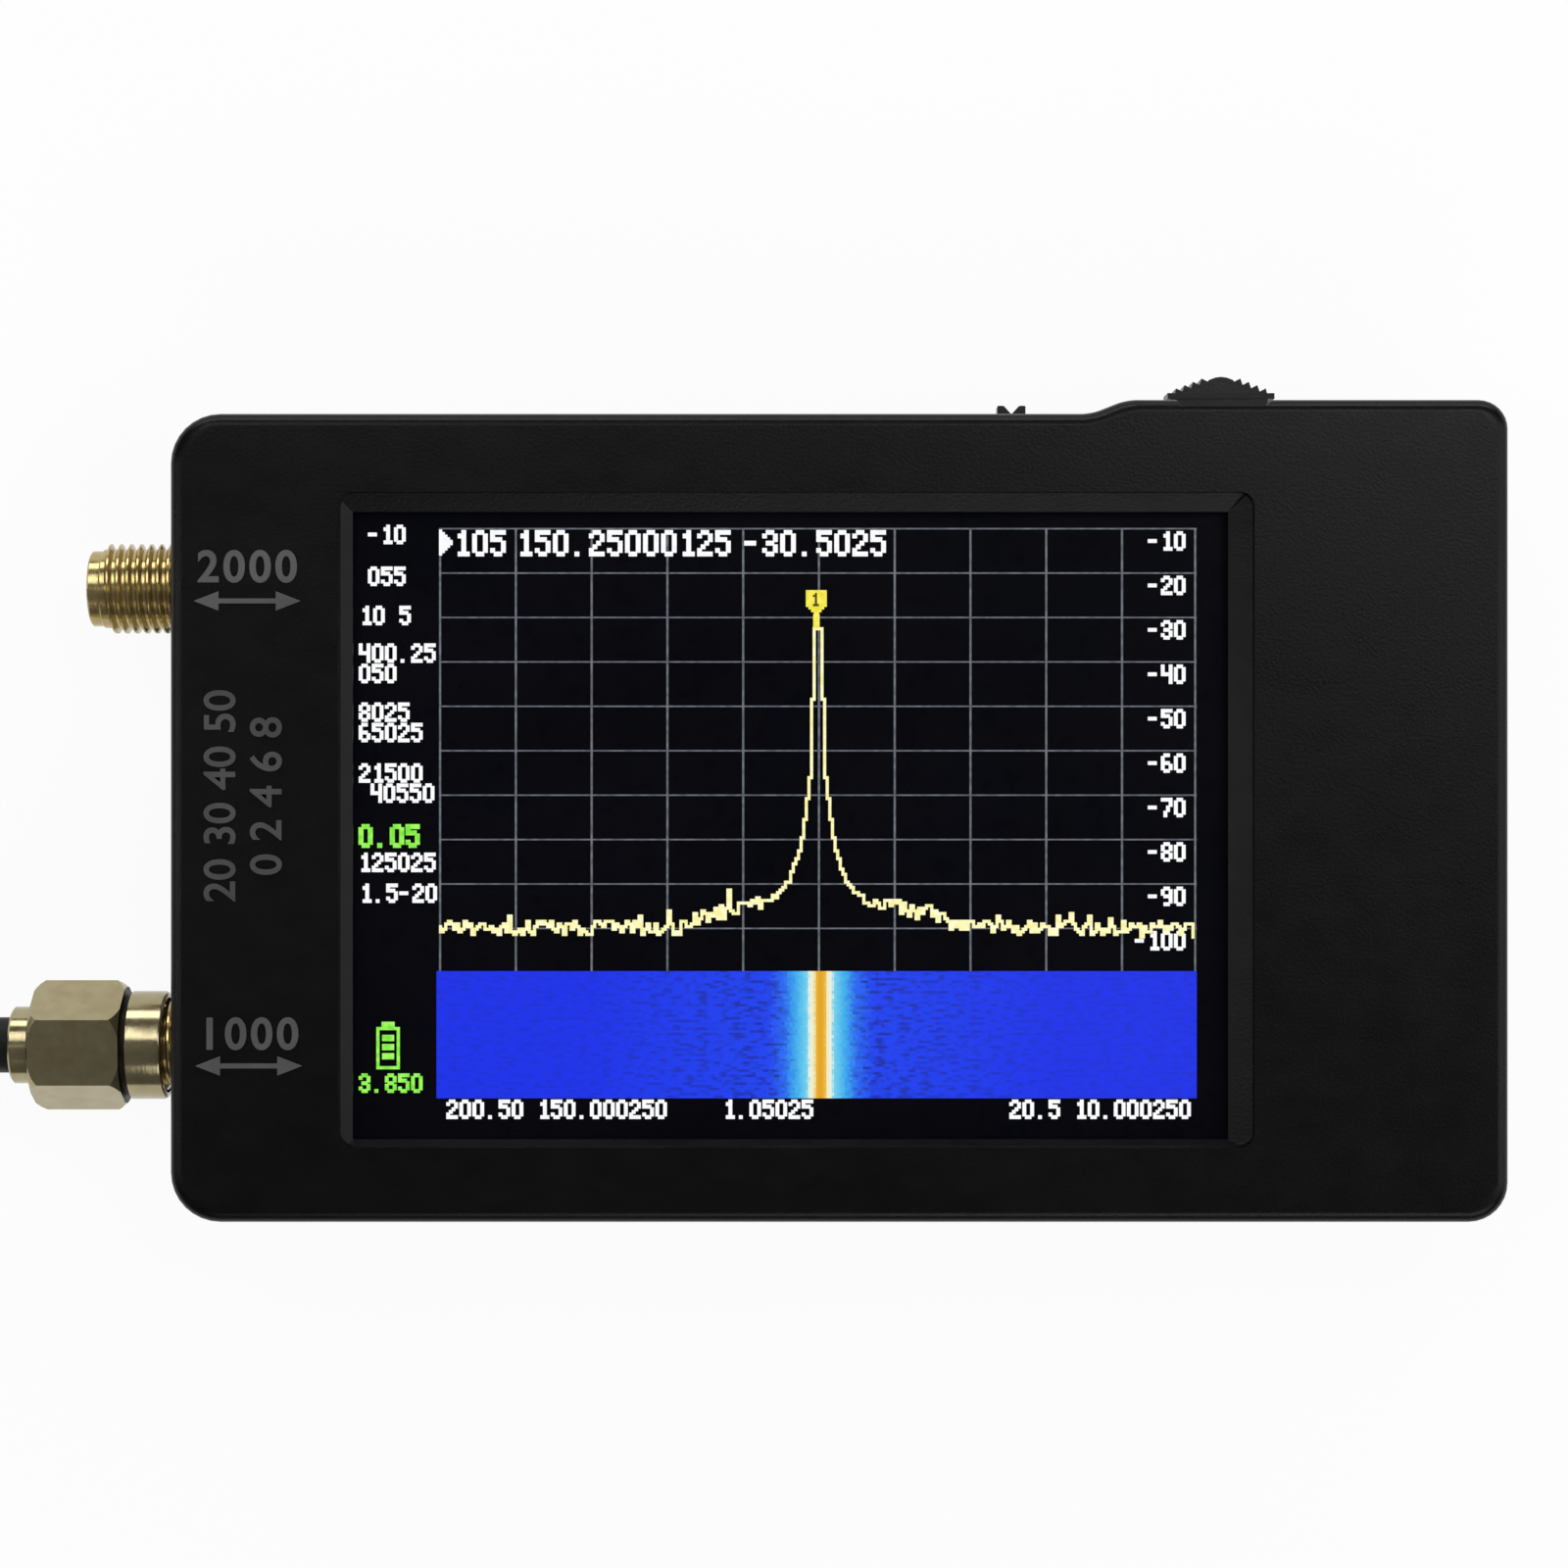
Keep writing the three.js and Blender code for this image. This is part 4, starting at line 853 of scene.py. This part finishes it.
def nut_shape(tip, y, z, turn):
    """A hexagon with chamfered ends, a round sleeve in front of it and its bores."""
    rear = tip - NUT_REAR
    hex_front = tip + HEX_FRONT
    front = tip + NUT_FRONT
    corner = HEX_HALF / math.cos(math.pi / 6)
    hexagon = rod_along_x(corner, rear, hex_front, y, z, 6, turn)
    chamfer = [(0, 0), (0, HEX_HALF + 0.12), (0.3, HEX_HALF + 0.4), (0.7, corner + 0.05)]
    rounder = turned([
        *[(rear + x, radius) for x, radius in chamfer],
        *[(hex_front - x, radius) for x, radius in reversed(chamfer)],
    ], y, z, 96)
    chamfered = carve(hexagon, [rounder], "INTERSECT")
    sleeve = turned([
        (hex_front - 0.5, 0), (hex_front - 0.5, GROOVE_RADIUS), (hex_front + 0.32, GROOVE_RADIUS),
        (hex_front + 0.36, SLEEVE_CORNER), (hex_front + 0.46, SLEEVE_RADIUS),
        (front - 0.2, SLEEVE_RADIUS), (front - 0.05, SLEEVE_CORNER), (front, SLEEVE_RADIUS - 0.25),
        (front, 0),
    ], y, z, 96)
    whole = carve(chamfered, [sleeve], "UNION")
    return carve(whole, [
        rod_along_x(NUT_BORE, rear + NUT_SEAT, front + OVERRUN, y, z, 72),
        rod_along_x(NUT_TAIL_BORE, rear - OVERRUN, rear + 2 * OVERRUN, y, z, 72),
    ])


def plug_body_shape(tip, y, z):
    """The plug's body: its tail, the collar behind the nut, the nut's ring and the socket."""
    collar_front = tip - COLLAR_FRONT
    collar_rear = collar_front - COLLAR_LENGTH
    tail = collar_rear - TAIL_LENGTH
    mouth = tip + BODY_FRONT
    return turned([
        (tail, 0), (tail, TAIL_RADIUS), (collar_rear, TAIL_RADIUS),
        (collar_rear, COLLAR_RADIUS - COLLAR_CHAMFER), (collar_rear + COLLAR_CHAMFER, COLLAR_RADIUS),
        (collar_front - COLLAR_CHAMFER, COLLAR_RADIUS), (collar_front, COLLAR_RADIUS - COLLAR_CHAMFER),
        (collar_front, BODY_RADIUS), (tip - RING_REAR, BODY_RADIUS), (tip - RING_REAR, RING_RADIUS),
        (tip - RING_FRONT, RING_RADIUS), (tip - RING_FRONT, BODY_RADIUS), (mouth, BODY_RADIUS),
        (mouth, BODY_BORE), (tip - BODY_FLOOR, BODY_BORE), (tip - BODY_FLOOR, 0),
    ], y, z)


def plug_insulator_shape(tip, y, z):
    rear = tip - PIN_REAR
    front = tip + BODY_FRONT
    rim = 0.05
    return turned([
        (rear, PIN_HOLE), (rear, INSULATOR_RADIUS), (front - rim, INSULATOR_RADIUS),
        (front, INSULATOR_RADIUS - rim), (front, PIN_HOLE), (rear, PIN_HOLE),
    ], y, z, 48)


def plug_pin_shape(tip, y, z):
    rear = tip - PIN_REAR
    point = tip + PIN_FRONT
    return turned([
        (rear, 0), (rear, PIN_RADIUS), (point - 0.45, PIN_RADIUS), (point - 0.15, 0.34), (point, 0.2),
        (point, 0),
    ], y, z, 32)


def boot_shape(tip, y, z):
    """A shrunk sleeve with a slightly waisted end and a hole for the plug's tail."""
    front = tip - BOOT_FRONT
    rear = front - BOOT_LENGTH
    hole = front - BOOT_BORE_DEPTH
    waist = [(0, 1.5), (0.1, 1.6), (1.2, 1.66), (2.2, 1.78), (3.2, 1.92), (4.4, BOOT_RADIUS)]
    return turned([
        (rear, 0), *[(rear + x, radius) for x, radius in waist], (front - 0.2, BOOT_RADIUS),
        (front, BOOT_RADIUS - 0.1), (front, BOOT_BORE), (hole, BOOT_BORE), (hole, 0),
    ], y, z)


def shade_groove(nut, tip):
    """Paints shade into the groove between a nut's hexagon and its sleeve, as a dark finish on its
    faces.
    """
    low, high = ((tip + reach) * METRE + CASE_MIDDLE.x for reach in PAINTED_SHADE_SPAN)
    nut.data.materials.append(SURFACES["groove_painted_shade"])
    for face in nut.data.polygons:
        if low < face.center.x < high:
            face.material_index = 1


def make_plug(name, tip, y, z):
    shapes = {
        "nut": nut_shape(tip, y, z, NUT_TURNS[name]),
        "body": plug_body_shape(tip, y, z),
        "insulator": plug_insulator_shape(tip, y, z),
        "pin": plug_pin_shape(tip, y, z),
        "boot": boot_shape(tip, y, z),
    }
    pieces = {}
    for part, shape in shapes.items():
        bevel = NUT_BEVEL if part == "nut" else 0
        pieces[part] = finish_piece(f"{name}_{part}", shape, f"{name}_plug_{part}", bevel=bevel)
    shade_groove(pieces["nut"], tip)
    return list(pieces.values())


# Ports

def thread_ridge(y):
    """The thread itself, one ridge wound round the port."""
    bm = bmesh.new()
    start = PORT_TIP + NOSE + THREAD_GAP
    steps = round(THREAD_TURNS * THREAD_STEPS)
    root = THREAD_ROOT - RIDGE_SINK
    crest = [(x, THREAD_RADIUS) for x in RIDGE_CREST]
    outline = [(0, root), *crest, (RIDGE_FOOT, root)]
    verts = [bm.verts.new((start + x, y + radius, PORT_Z)) for x, radius in outline]
    section = bm.faces.new(verts)
    bmesh.ops.spin(
        bm, geom=[section], cent=(0, y, PORT_Z), axis=(1, 0, 0),
        dvec=(THREAD_TURNS * THREAD_PITCH / steps, 0, 0), angle=THREAD_TURNS * 2 * math.pi, steps=steps,
    )
    face_outwards(bm)
    return bm


def port_barrel(y):
    flange_end = FLANGE_X + FLANGE_THICKNESS
    bore_end = PORT_TIP + COUNTERBORE_DEPTH
    nose_end = PORT_TIP + NOSE
    shoulder = PORT_TIP + SHOULDER
    mouth = COUNTERBORE + COUNTERBORE_CHAMFER
    return turned([
        (PORT_TIP, mouth), (PORT_TIP, NOSE_RADIUS - NOSE_CHAMFER),
        (PORT_TIP + NOSE_CHAMFER, NOSE_RADIUS), (nose_end, NOSE_RADIUS),
        (nose_end + NOSE_CHAMFER, THREAD_ROOT), (shoulder, THREAD_ROOT),
        (shoulder + SHOULDER_RUN, THREAD_RADIUS), (FLANGE_X, THREAD_RADIUS), (flange_end, THREAD_RADIUS),
        (flange_end, PORT_BORE), (bore_end, PORT_BORE), (bore_end, COUNTERBORE),
        (PORT_TIP + COUNTERBORE_CHAMFER, COUNTERBORE), (PORT_TIP, mouth),
    ], y, PORT_Z)


def port_flange(y):
    """The port's square flange and the four legs that clasp the board."""
    half = FLANGE_SIZE / 2
    flange_end = FLANGE_X + FLANGE_THICKNESS
    plate = solid_box((FLANGE_X, y - half, PORT_Z - half), (flange_end, y + half, PORT_Z + half))
    hole = rod_along_x(THREAD_RADIUS, FLANGE_X - OVERRUN, flange_end + OVERRUN, y, PORT_Z)
    whole = carve(plate, [hole])
    for leg_y in (y - LEG_Y, y + LEG_Y):
        for low in LEG_LOWS:
            high = low + 2 * LEG_HALF
            add_box(whole, (flange_end, leg_y - LEG_HALF, low), (LEG_END, leg_y + LEG_HALF, high))
    return whole


def make_port(name, y):
    body = merged([port_barrel(y), thread_ridge(y), port_flange(y)])
    finish_piece(f"{name}_barrel", body, f"{name}_port_body")
    start = PORT_TIP + COUNTERBORE_DEPTH
    end = FLANGE_X + FLANGE_THICKNESS
    insulator = turned([
        (start, INSULATOR_BORE), (start, INSULATOR_RADIUS), (end, INSULATOR_RADIUS),
        (end, INSULATOR_BORE), (start, INSULATOR_BORE),
    ], y, PORT_Z, 48)
    finish_piece(f"{name}_insulator", insulator, f"{name}_port_insulator")
    mouth = start + 0.1
    floor = mouth + CONTACT_DEPTH
    tail = end + CONTACT_TAIL
    contact = turned([
        (mouth, PIN_HOLE), (mouth, CONTACT_RADIUS - 0.08), (mouth + 0.1, CONTACT_RADIUS),
        (tail, CONTACT_RADIUS), (tail, 0), (floor, 0), (floor, PIN_HOLE), (mouth, PIN_HOLE),
    ], y, PORT_Z, 32)
    finish_piece(f"{name}_contact", contact, f"{name}_port_contact")


# Case

def notch_cutter(notch):
    """The space that the jog lever swings in, with leaning sides."""
    low = RAISED_TOP - notch["depth"]
    high = RAISED_TOP + notch["depth"]
    left = notch["x"] - notch["half"]
    right = notch["x"] + notch["half"]
    spread = 2 * notch["lean"]
    outline = [(left, low), (right, low), (right + spread, high), (left - spread, high)]
    return slab(outline, notch["low"], notch["high"])


def case_face(bm, inset, z):
    """The case's outline, drawn in by a distance."""
    lean = math.tan(math.atan2(RAISED_TOP - CASE_TOP, RISE_HEAD - RISE_FOOT) / 2) * inset
    radii = {name: max(CORNERS[name] - inset, least) for name, least in LEAST_CORNERS.items()}
    return rounded_face(bm, [
        (CASE_LEFT + inset, CASE_BOTTOM + inset, radii["left"]),
        (CASE_RIGHT - inset, CASE_BOTTOM + inset, radii["bottom_right"]),
        (CASE_RIGHT - inset, RAISED_TOP - inset, radii["top_right"]),
        (RISE_HEAD + lean, RAISED_TOP - inset, CORNERS["rise"]),
        (RISE_FOOT + lean, CASE_TOP - inset, CORNERS["rise"]),
        (CASE_LEFT + inset, CASE_TOP - inset, radii["left"]),
    ], z)


def window_face(bm, bands, corner, z):
    """A level face over the screen's window, larger by a band on each side."""
    left = WINDOW_X - WINDOW_LENGTH / 2 - bands["left"]
    right = WINDOW_X + WINDOW_LENGTH / 2 + bands["right"]
    bottom = WINDOW_Y - WINDOW_WIDTH / 2 - bands["bottom"]
    top = WINDOW_Y + WINDOW_WIDTH / 2 + bands["top"]
    return rounded_face(bm, [
        (left, bottom, corner), (right, bottom, corner), (right, top, corner), (left, top, corner),
    ], z, 10)


def beside_window(place):
    """How far a place lies outside the screen's window."""
    across = abs(place.x - WINDOW_X) - WINDOW_LENGTH / 2
    up = abs(place.y - WINDOW_Y) - WINDOW_WIDTH / 2
    return max(across, up)


def window_funnel(bm):
    """The steep wall and the leaning band that lead down to the screen."""
    low = FRONT_INNER + LIP
    opening = window_face(bm, BANDS, RECESS_CORNER, FACE_Z)
    foot = lift(bm, opening, low - FACE_Z)
    for vert in foot.verts:
        vert.co.z += BAND_SLOPE * beside_window(vert.co)
    rim = window_face(bm, dict.fromkeys(BANDS, 0), RIM_CORNER, low)
    band_edges = [*foot.edges, *rim.edges]
    lowest = lift(bm, rim, -LIP)
    drop_faces(bm, [opening, foot, rim, lowest])
    bmesh.ops.bridge_loops(bm, edges=band_edges)


def port_cutters():
    radius = THREAD_RADIUS + PORT_HOLE_GAP
    inside = CASE_LEFT + CASE_WALL + OVERRUN
    return [rod_along_x(radius, CASE_LEFT - OVERRUN, inside, y, PORT_Z) for y in PORT_YS.values()]


def make_front():
    bm = bmesh.new()
    low = PART_Z + PART_GAP / 2
    base = case_face(bm, 0, low)
    top = lift(bm, base, FACE_Z - low)
    drop_faces(bm, [base])
    drop_faces(bm, [round_rim(bm, top, EDGE_ROUND)])
    window_funnel(bm)
    inner = case_face(bm, CASE_WALL, low)
    ceiling = lift(bm, inner, FRONT_INNER - low)
    drop_faces(bm, [inner, ceiling])
    for level in (low, FRONT_INNER, FACE_Z):
        fill_level(bm, level)
    face_outwards(bm)
    shell = carve(bm, [*port_cutters(), notch_cutter(FRONT_NOTCH)])
    finish_piece("front_shell", shell, "front_case", sharp=19)


def slot_cutters():
    """The openings in the top edge for the lever and the switch."""
    cutters = []
    for x, slot in ((JOG_X, JOG_SLOT), (KNOB_X, KNOB_SLOT)):
        low = (x - slot["left"], SLOT_BACK, slot["low"])
        cutters.append(solid_box(low, (x + slot["right"], SLOT_FRONT, slot["high"])))
    return cutters


def socket_cutter():
    """The charging socket's rounded opening, laid over to point along Y."""
    bm = bmesh.new()
    left = SOCKET_X - SOCKET_HALF
    right = SOCKET_X + SOCKET_HALF
    low, high = -SOCKET_HALF_HEIGHT, SOCKET_HALF_HEIGHT
    face = rounded_face(bm, [
        (x, y, SOCKET_CORNER) for x, y in ((left, low), (right, low), (right, high), (left, high))
    ], SLOT_BACK)
    lift(bm, face, SLOT_FRONT - SLOT_BACK)
    face_outwards(bm)
    aim = Matrix.Translation((0, 0, SOCKET_Z)) @ Matrix.Rotation(-math.pi / 2, 4, "X")
    bmesh.ops.transform(bm, matrix=aim, verts=bm.verts)
    return bm


def make_rear():
    bm = bmesh.new()
    high = PART_Z - PART_GAP / 2
    base = case_face(bm, 0, high)
    bottom = lift(bm, base, -high)
    drop_faces(bm, [base])
    round_rim(bm, bottom, EDGE_ROUND)
    lip = case_face(bm, LIP_INSET, high)
    lip_top = lift(bm, lip, LIP_TOP - high)
    drop_faces(bm, [lip, lip_top])
    inner = case_face(bm, CASE_WALL, LIP_TOP)
    lift(bm, inner, REAR_FLOOR - LIP_TOP)
    drop_faces(bm, [inner])
    for level in (high, LIP_TOP):
        fill_level(bm, level)
    face_outwards(bm)
    heads = [rod_up(HEAD_BORE, -OVERRUN, HEAD_DEPTH, x, y) for x, y in SCREW_PLACES]
    cutters = [*port_cutters(), *slot_cutters(), socket_cutter(), *heads, notch_cutter(REAR_NOTCH)]
    finish_piece("rear_shell", carve(bm, cutters), "rear_case")


def make_screws():
    for index, (x, y) in enumerate(SCREW_PLACES, 1):
        body = turned(SCREW_PROFILE, 0, 0, 48)
        aim = Matrix.Translation((x, y, 0)) @ Matrix.Rotation(-math.pi / 2, 4, "Y")
        bmesh.ops.transform(body, matrix=aim, verts=body.verts)
        cross = [
            solid_box((x - across, y - up, -OVERRUN), (x + across, y + up, CROSS_DEPTH))
            for across, up in ((CROSS_LONG, CROSS_WIDE), (CROSS_WIDE, CROSS_LONG))
        ]
        finish_piece(f"screw_{index}", carve(body, cross), f"case_screw_{index}")


# Marks on the case

def double_arrow(x, y):
    """A flat arrow with a head at each end, raised from the case's face."""
    neck = ARROW_HALF - ARROW_HEAD
    return slab([
        (x - ARROW_HALF, y), (x - neck, y - HEAD_HALF), (x - neck, y - SHAFT_HALF),
        (x + neck, y - SHAFT_HALF), (x + neck, y - HEAD_HALF), (x + ARROW_HALF, y),
        (x + neck, y + HEAD_HALF), (x + neck, y + SHAFT_HALF), (x - neck, y + SHAFT_HALF),
        (x - neck, y + HEAD_HALF),
    ], FACE_Z - MARK_SINK, CASE_DEPTH)


def number_shape(text, x, y, upright=False, bold=0.07, spacing=1.0):
    """Plain numbers raised from the case's face, along X or, if upright, along Y."""
    curve = bpy.data.curves.new("number", "FONT")
    curve.body = text
    curve.size = NUMBER_SIZE
    curve.space_character = spacing
    curve.align_x = "CENTER"
    curve.align_y = "CENTER"
    curve.offset = bold
    curve.extrude = (MARK_HEIGHT + MARK_SINK) / 2
    holder = add_object("number", curve)
    bm = evaluated_shape(holder)
    bpy.data.objects.remove(holder)
    bmesh.ops.remove_doubles(bm, verts=bm.verts, dist=0.0005)
    middle = (FACE_Z - MARK_SINK + CASE_DEPTH) / 2
    place = Matrix.Translation((x, y, middle)) @ Matrix.Rotation(math.pi / 2 if upright else 0, 4, "Z")
    bmesh.ops.transform(bm, matrix=place, verts=bm.verts)
    face_outwards(bm)
    return bm


def make_marks():
    for name, (x, arrow_y, number_y, text) in PORT_MARKS.items():
        mark = merged([double_arrow(x, arrow_y), number_shape(text, x, number_y, spacing=1.18)])
        # The marks' grey finish is painted sheen on the case's own moulding
        finish_piece(f"{name}_mark", mark, "front_case", SURFACES["mark_plastic"], bevel=0.04)
    rows = [number_shape(text, x, UPRIGHT_Y, True, 0.04) for x, text in UPRIGHT_ROWS.items()]
    finish_piece("upright_numbers", merged(rows), "front_case", SURFACES["faint_mark_plastic"])


# Controls

def cap_outline():
    """The lever's cap from its pivot: a base, a shelf, and a toothed fan that ends in a crown."""
    right = [
        (BASE_HALF, CAP_BASE), (BASE_HALF, CAP_SHELF), (SHELF_HALF, CAP_SHELF), (SHELF_HALF, CAP_FAN),
        (FAN_HALF, CAP_FAN),
    ]
    for index in range(TEETH):
        share = (index + 0.5) / TEETH
        x = FAN_HALF - share * (FAN_HALF - CROWN_HALF)
        y = CAP_FAN + share * (CAP_TOP - CAP_FAN - TOOTH)
        right += [(x + TOOTH, y + TOOTH), (x - TOOTH, y)]
    right += [(CROWN_HALF, CAP_TOP - TOOTH), (0.4, CAP_TOP - 0.05)]
    left = [(-x, y) for x, y in reversed(right)]
    return [*right, (0, CAP_TOP), *left]


def cap_ridge():
    """The ridge across the cap's shelf, whose top leans back towards the case."""
    top = JOG_CAP_Z + JOG_CAP_HEIGHT
    front = JOG_PIVOT_Y + CAP_FAN
    ridge = solid_box(
        (JOG_X - SHELF_HALF, JOG_PIVOT_Y + CAP_SHELF, top - RIDGE_DEPTH),
        (JOG_X + SHELF_HALF, front, top + RIDGE_RISE),
    )
    for vert in ridge.verts:
        if vert.co.z > top and vert.co.y < front:
            vert.co.z += RIDGE_LEAN
    return ridge


def make_jog():
    outline = [(JOG_X + x, JOG_PIVOT_Y + y) for x, y in cap_outline()]
    cap = slab(outline, JOG_CAP_Z, JOG_CAP_Z + JOG_CAP_HEIGHT)
    high = JOG_STEM_Z + JOG_STEM_HEIGHT
    stem = solid_box(
        (JOG_X - JOG_STEM_HALF, JOG_PIVOT_Y, JOG_STEM_Z),
        (JOG_X + JOG_STEM_HALF, JOG_PIVOT_Y + CAP_SHELF, high),
    )
    hub = rod_up(JOG_HUB, JOG_STEM_Z, high, JOG_X, JOG_PIVOT_Y)
    whole = carve(cap, [cap_ridge(), stem, hub], "UNION")
    bore = rod_up(JOG_BORE, JOG_STEM_Z - OVERRUN, high + OVERRUN, JOG_X, JOG_PIVOT_Y)
    finish_piece("jog_cap", carve(whole, [bore]), "jog_lever", bevel=0.09)


def make_knob():
    low = KNOB_Z - KNOB_HEIGHT / 2
    high = KNOB_Z + KNOB_HEIGHT / 2
    left, right = KNOB_X - KNOB_HALF, KNOB_X + KNOB_HALF
    stem = slab([
        (left, KNOB_BACK), (right, KNOB_BACK), (right, KNOB_TIP), (KNOB_X + KNOB_DENT_HALF, KNOB_TIP),
        (KNOB_X, KNOB_TIP - KNOB_DENT), (KNOB_X - KNOB_DENT_HALF, KNOB_TIP), (left, KNOB_TIP),
    ], low, high)
    carrier = solid_box(
        (KNOB_X - CARRIER_HALF, KNOB_BACK, low), (KNOB_X + CARRIER_HALF, CARRIER_FRONT, high),
    )
    finish_piece("switch_knob", carve(stem, [carrier], "UNION"), "power_switch_knob", bevel=0.08)


# Screen

# Each character's rows of dots, from the top down
DIGITS = {
    "0": ".##. #..# #..# #..# #..# #..# .##.",
    "1": "..#. .##. ..#. ..#. ..#. ..#. .###",
    "2": ".##. #..# ...# ..#. .#.. #... ####",
    "3": ".##. #..# ...# .##. ...# #..# .##.",
    "4": "#..# #..# #..# #### ...# ...# ...#",
    "5": "#### #... ###. ...# ...# #..# .##.",
    "6": ".##. #... #... ###. #..# #..# .##.",
    "7": "#### ...# ...# ..#. ..#. .#.. .#..",
    "8": ".##. #..# #..# .##. #..# #..# .##.",
    "9": ".##. #..# #..# .### ...# ...# .##.",
    ".": ".... .... .... .... .... .... .#..",
    "-": ".... .... .... ###. .... .... ....",
    " ": ".... .... .... .... .... .... ....",
}


def add_ink(bm, column, row, columns, rows, layer):
    """A thin lit bar on the display, in its own dots."""
    left, top = screen_point(column, row)
    low = GLASS_TOP + INK_GAP
    high = low + INK_THICKNESS + LAYER_STEP * layer
    add_box(bm, (left, top - rows * DOT, low), (left + columns * DOT, top, high))


def runs(line):
    """Where each stretch of lit dots starts in a line, and how long it is."""
    return [(stretch.start(), len(stretch[0])) for stretch in re.finditer("#+", line)]


# The numbers over the plot, and those beside and under it: text, column and row
HEAD_NUMBERS = [("105", 36, 8), ("150.25000125", 60, 8), ("-30.5025", 147, 8)]
SMALL_NUMBERS = [
    ("-10", 3, 6), ("055", 3, 22), ("10 5", 0, 37), ("400.25", -0.5, 51.4), ("050", -0.5, 59.2),
    ("8025", -0.5, 74), ("65025", -0.5, 81.8), ("21500", -0.5, 97.3), ("40550", 4, 105),
    ("125025", -0.5, 131.5), ("1.5-20", 0, 143.3), ("200.50 150.000250", 33, 226),
    ("1.05025", 139, 226), ("20.5 10.000250", 248.5, 226),
]

# The battery symbol's place, and its bars: column, row, width, height and layer
BATTERY_PLACE = (6, 198)
BATTERY_BARS = [
    (2, -2, 5, 2, 2), (0, 0, 9, 1.2, 2), (0, 15, 9, 1.2, 2), (0, 0, 1.2, 16, 3), (7.8, 0, 1.2, 16, 3),
    (2.2, 3, 4.6, 2.4, 2), (2.2, 6.5, 4.6, 2.4, 2), (2.2, 10, 4.6, 2.4, 2),
]


def add_number(bm, text, column, row, size=1.0, weight=0.45, layer=2):
    """Plain digits in the display's own dots, slightly bolder than the dots."""
    for place, character in enumerate(text):
        for line_index, line in enumerate(DIGITS[character].split()):
            top = row + line_index * size - weight / 2
            for start, length in runs(line):
                left = column + (place * 5 + start) * size - weight / 2
                add_ink(bm, left, top, length * size + weight, size + weight, layer)


def show(name, ink, fill):
    bm = bmesh.new()
    fill(bm)
    finish_piece(name, bm, "display_glass", INKS[ink])


def fill_grid(bm):
    for index in range(GRID_COLUMNS + 1):
        column = min(PLOT_LEFT + index * COLUMN_STEP, SCREEN_COLUMNS - 1)
        add_ink(bm, column, PLOT_TOP, 0.8, WATERFALL_TOP - PLOT_TOP, 0)
    for index in range(GRID_ROWS):
        add_ink(bm, PLOT_LEFT, PLOT_TOP + index * ROW_STEP, SCREEN_COLUMNS - PLOT_LEFT, 0.55, 1)


def trace_lift(away):
    """How many rows the trace stands over its floor, so many columns from the peak."""
    for (near, high), (far, low) in zip(PEAK_SHAPE, PEAK_SHAPE[1:]):
        if away < far:
            return high + (low - high) * (away - near) / (far - near)
    return 0


def trace_rows():
    """The row that the trace reaches in each column: a noisy floor with one narrow peak."""
    chance = random.Random(7)
    rows = []
    for column in range(PLOT_LEFT, SCREEN_COLUMNS):
        away = abs(column - PEAK_COLUMN)
        shake = chance.uniform(-2.8, 2.8) * min(1, away / 30)
        spike = chance.uniform(2, 6) if away > 30 and chance.random() < 0.05 else 0
        rows.append(round(FLOOR_ROW - trace_lift(away) + shake - spike))
    return rows


def fill_trace(bm):
    rows = trace_rows()
    for index, (here, after) in enumerate(zip(rows, rows[1:])):
        top = min(here, after)
        add_ink(bm, PLOT_LEFT + index, top, 1.15, abs(here - after) + 1.15, 3)


def fill_flag(bm):
    """The flag over the peak: a block, three rows that narrow, and a neck."""
    column = PEAK_COLUMN - 4.6
    add_ink(bm, column, FLAG_ROW, 8, 6.4, 4)
    for index in range(3):
        add_ink(bm, column + 1 + index, FLAG_ROW + 6.4 + index, 6 - 2 * index, 1, 4)
    add_ink(bm, column + 2.8, FLAG_ROW + 9.4, 2.4, 5, 4)


def fill_flag_number(bm):
    add_number(bm, "1", PEAK_COLUMN - 2.5, FLAG_ROW + 1.2, 0.7, 0.2, 6)


def fill_white(bm):
    for text, column, row in HEAD_NUMBERS:
        add_number(bm, text, column, row, 1.38)
    for index in range(5):
        add_ink(bm, PLOT_LEFT + index, 7.6 + index, 1.2, 10 - 2 * index, 3)
    for index in range(GRID_ROWS):
        text = str(-10 * (index + 1))
        add_number(bm, text, 316.5 - 5 * len(text), 8.5 + index * ROW_STEP)
    for text, column, row in SMALL_NUMBERS:
        add_number(bm, text, column, row)


def fill_green(bm):
    add_number(bm, "0.05", -0.5, 120.7, 1.2, 0.7)
    add_number(bm, "3.850", -0.5, 216)
    left, top = BATTERY_PLACE
    for column, row, *size in BATTERY_BARS:
        add_ink(bm, left + column, top + row, *size)


def make_screen():
    show("grid_lines", "grid", fill_grid)
    show("trace_line", "yellow", fill_trace)
    show("peak_flag", "flag", fill_flag)
    show("flag_number", "dark", fill_flag_number)
    show("white_numbers", "white", fill_white)
    show("green_numbers", "green", fill_green)
    bm = bmesh.new()
    add_ink(bm, PLOT_LEFT - 1, WATERFALL_TOP, SCREEN_COLUMNS - PLOT_LEFT + 1, WATERFALL_ROWS, 0)
    finish_piece("waterfall", bm, "display_glass", waterfall_surface())


def dress_nodes():
    """Gives every CAD node that still shows the finish of its slot."""
    for name, node in frame["nodes"].items():
        node.data.materials.clear()
        node.data.materials.append(SURFACES[NODE_SLOTS[name]])


bpy.context.scene.view_settings.view_transform = "Standard"
place_camera()
dress_nodes()
far_pieces = make_plug("far", FAR_TIP, FAR_Y, FAR_Z)
make_lead()
make_plug("near", PORT_TIP, PORT_YS["lower"], PORT_Z)
for port_name, port_y in PORT_YS.items():
    make_port(port_name, port_y)
make_front()
make_rear()
make_screws()
make_marks()
make_jog()
make_knob()
make_screen()
place_floor()
light_studio()
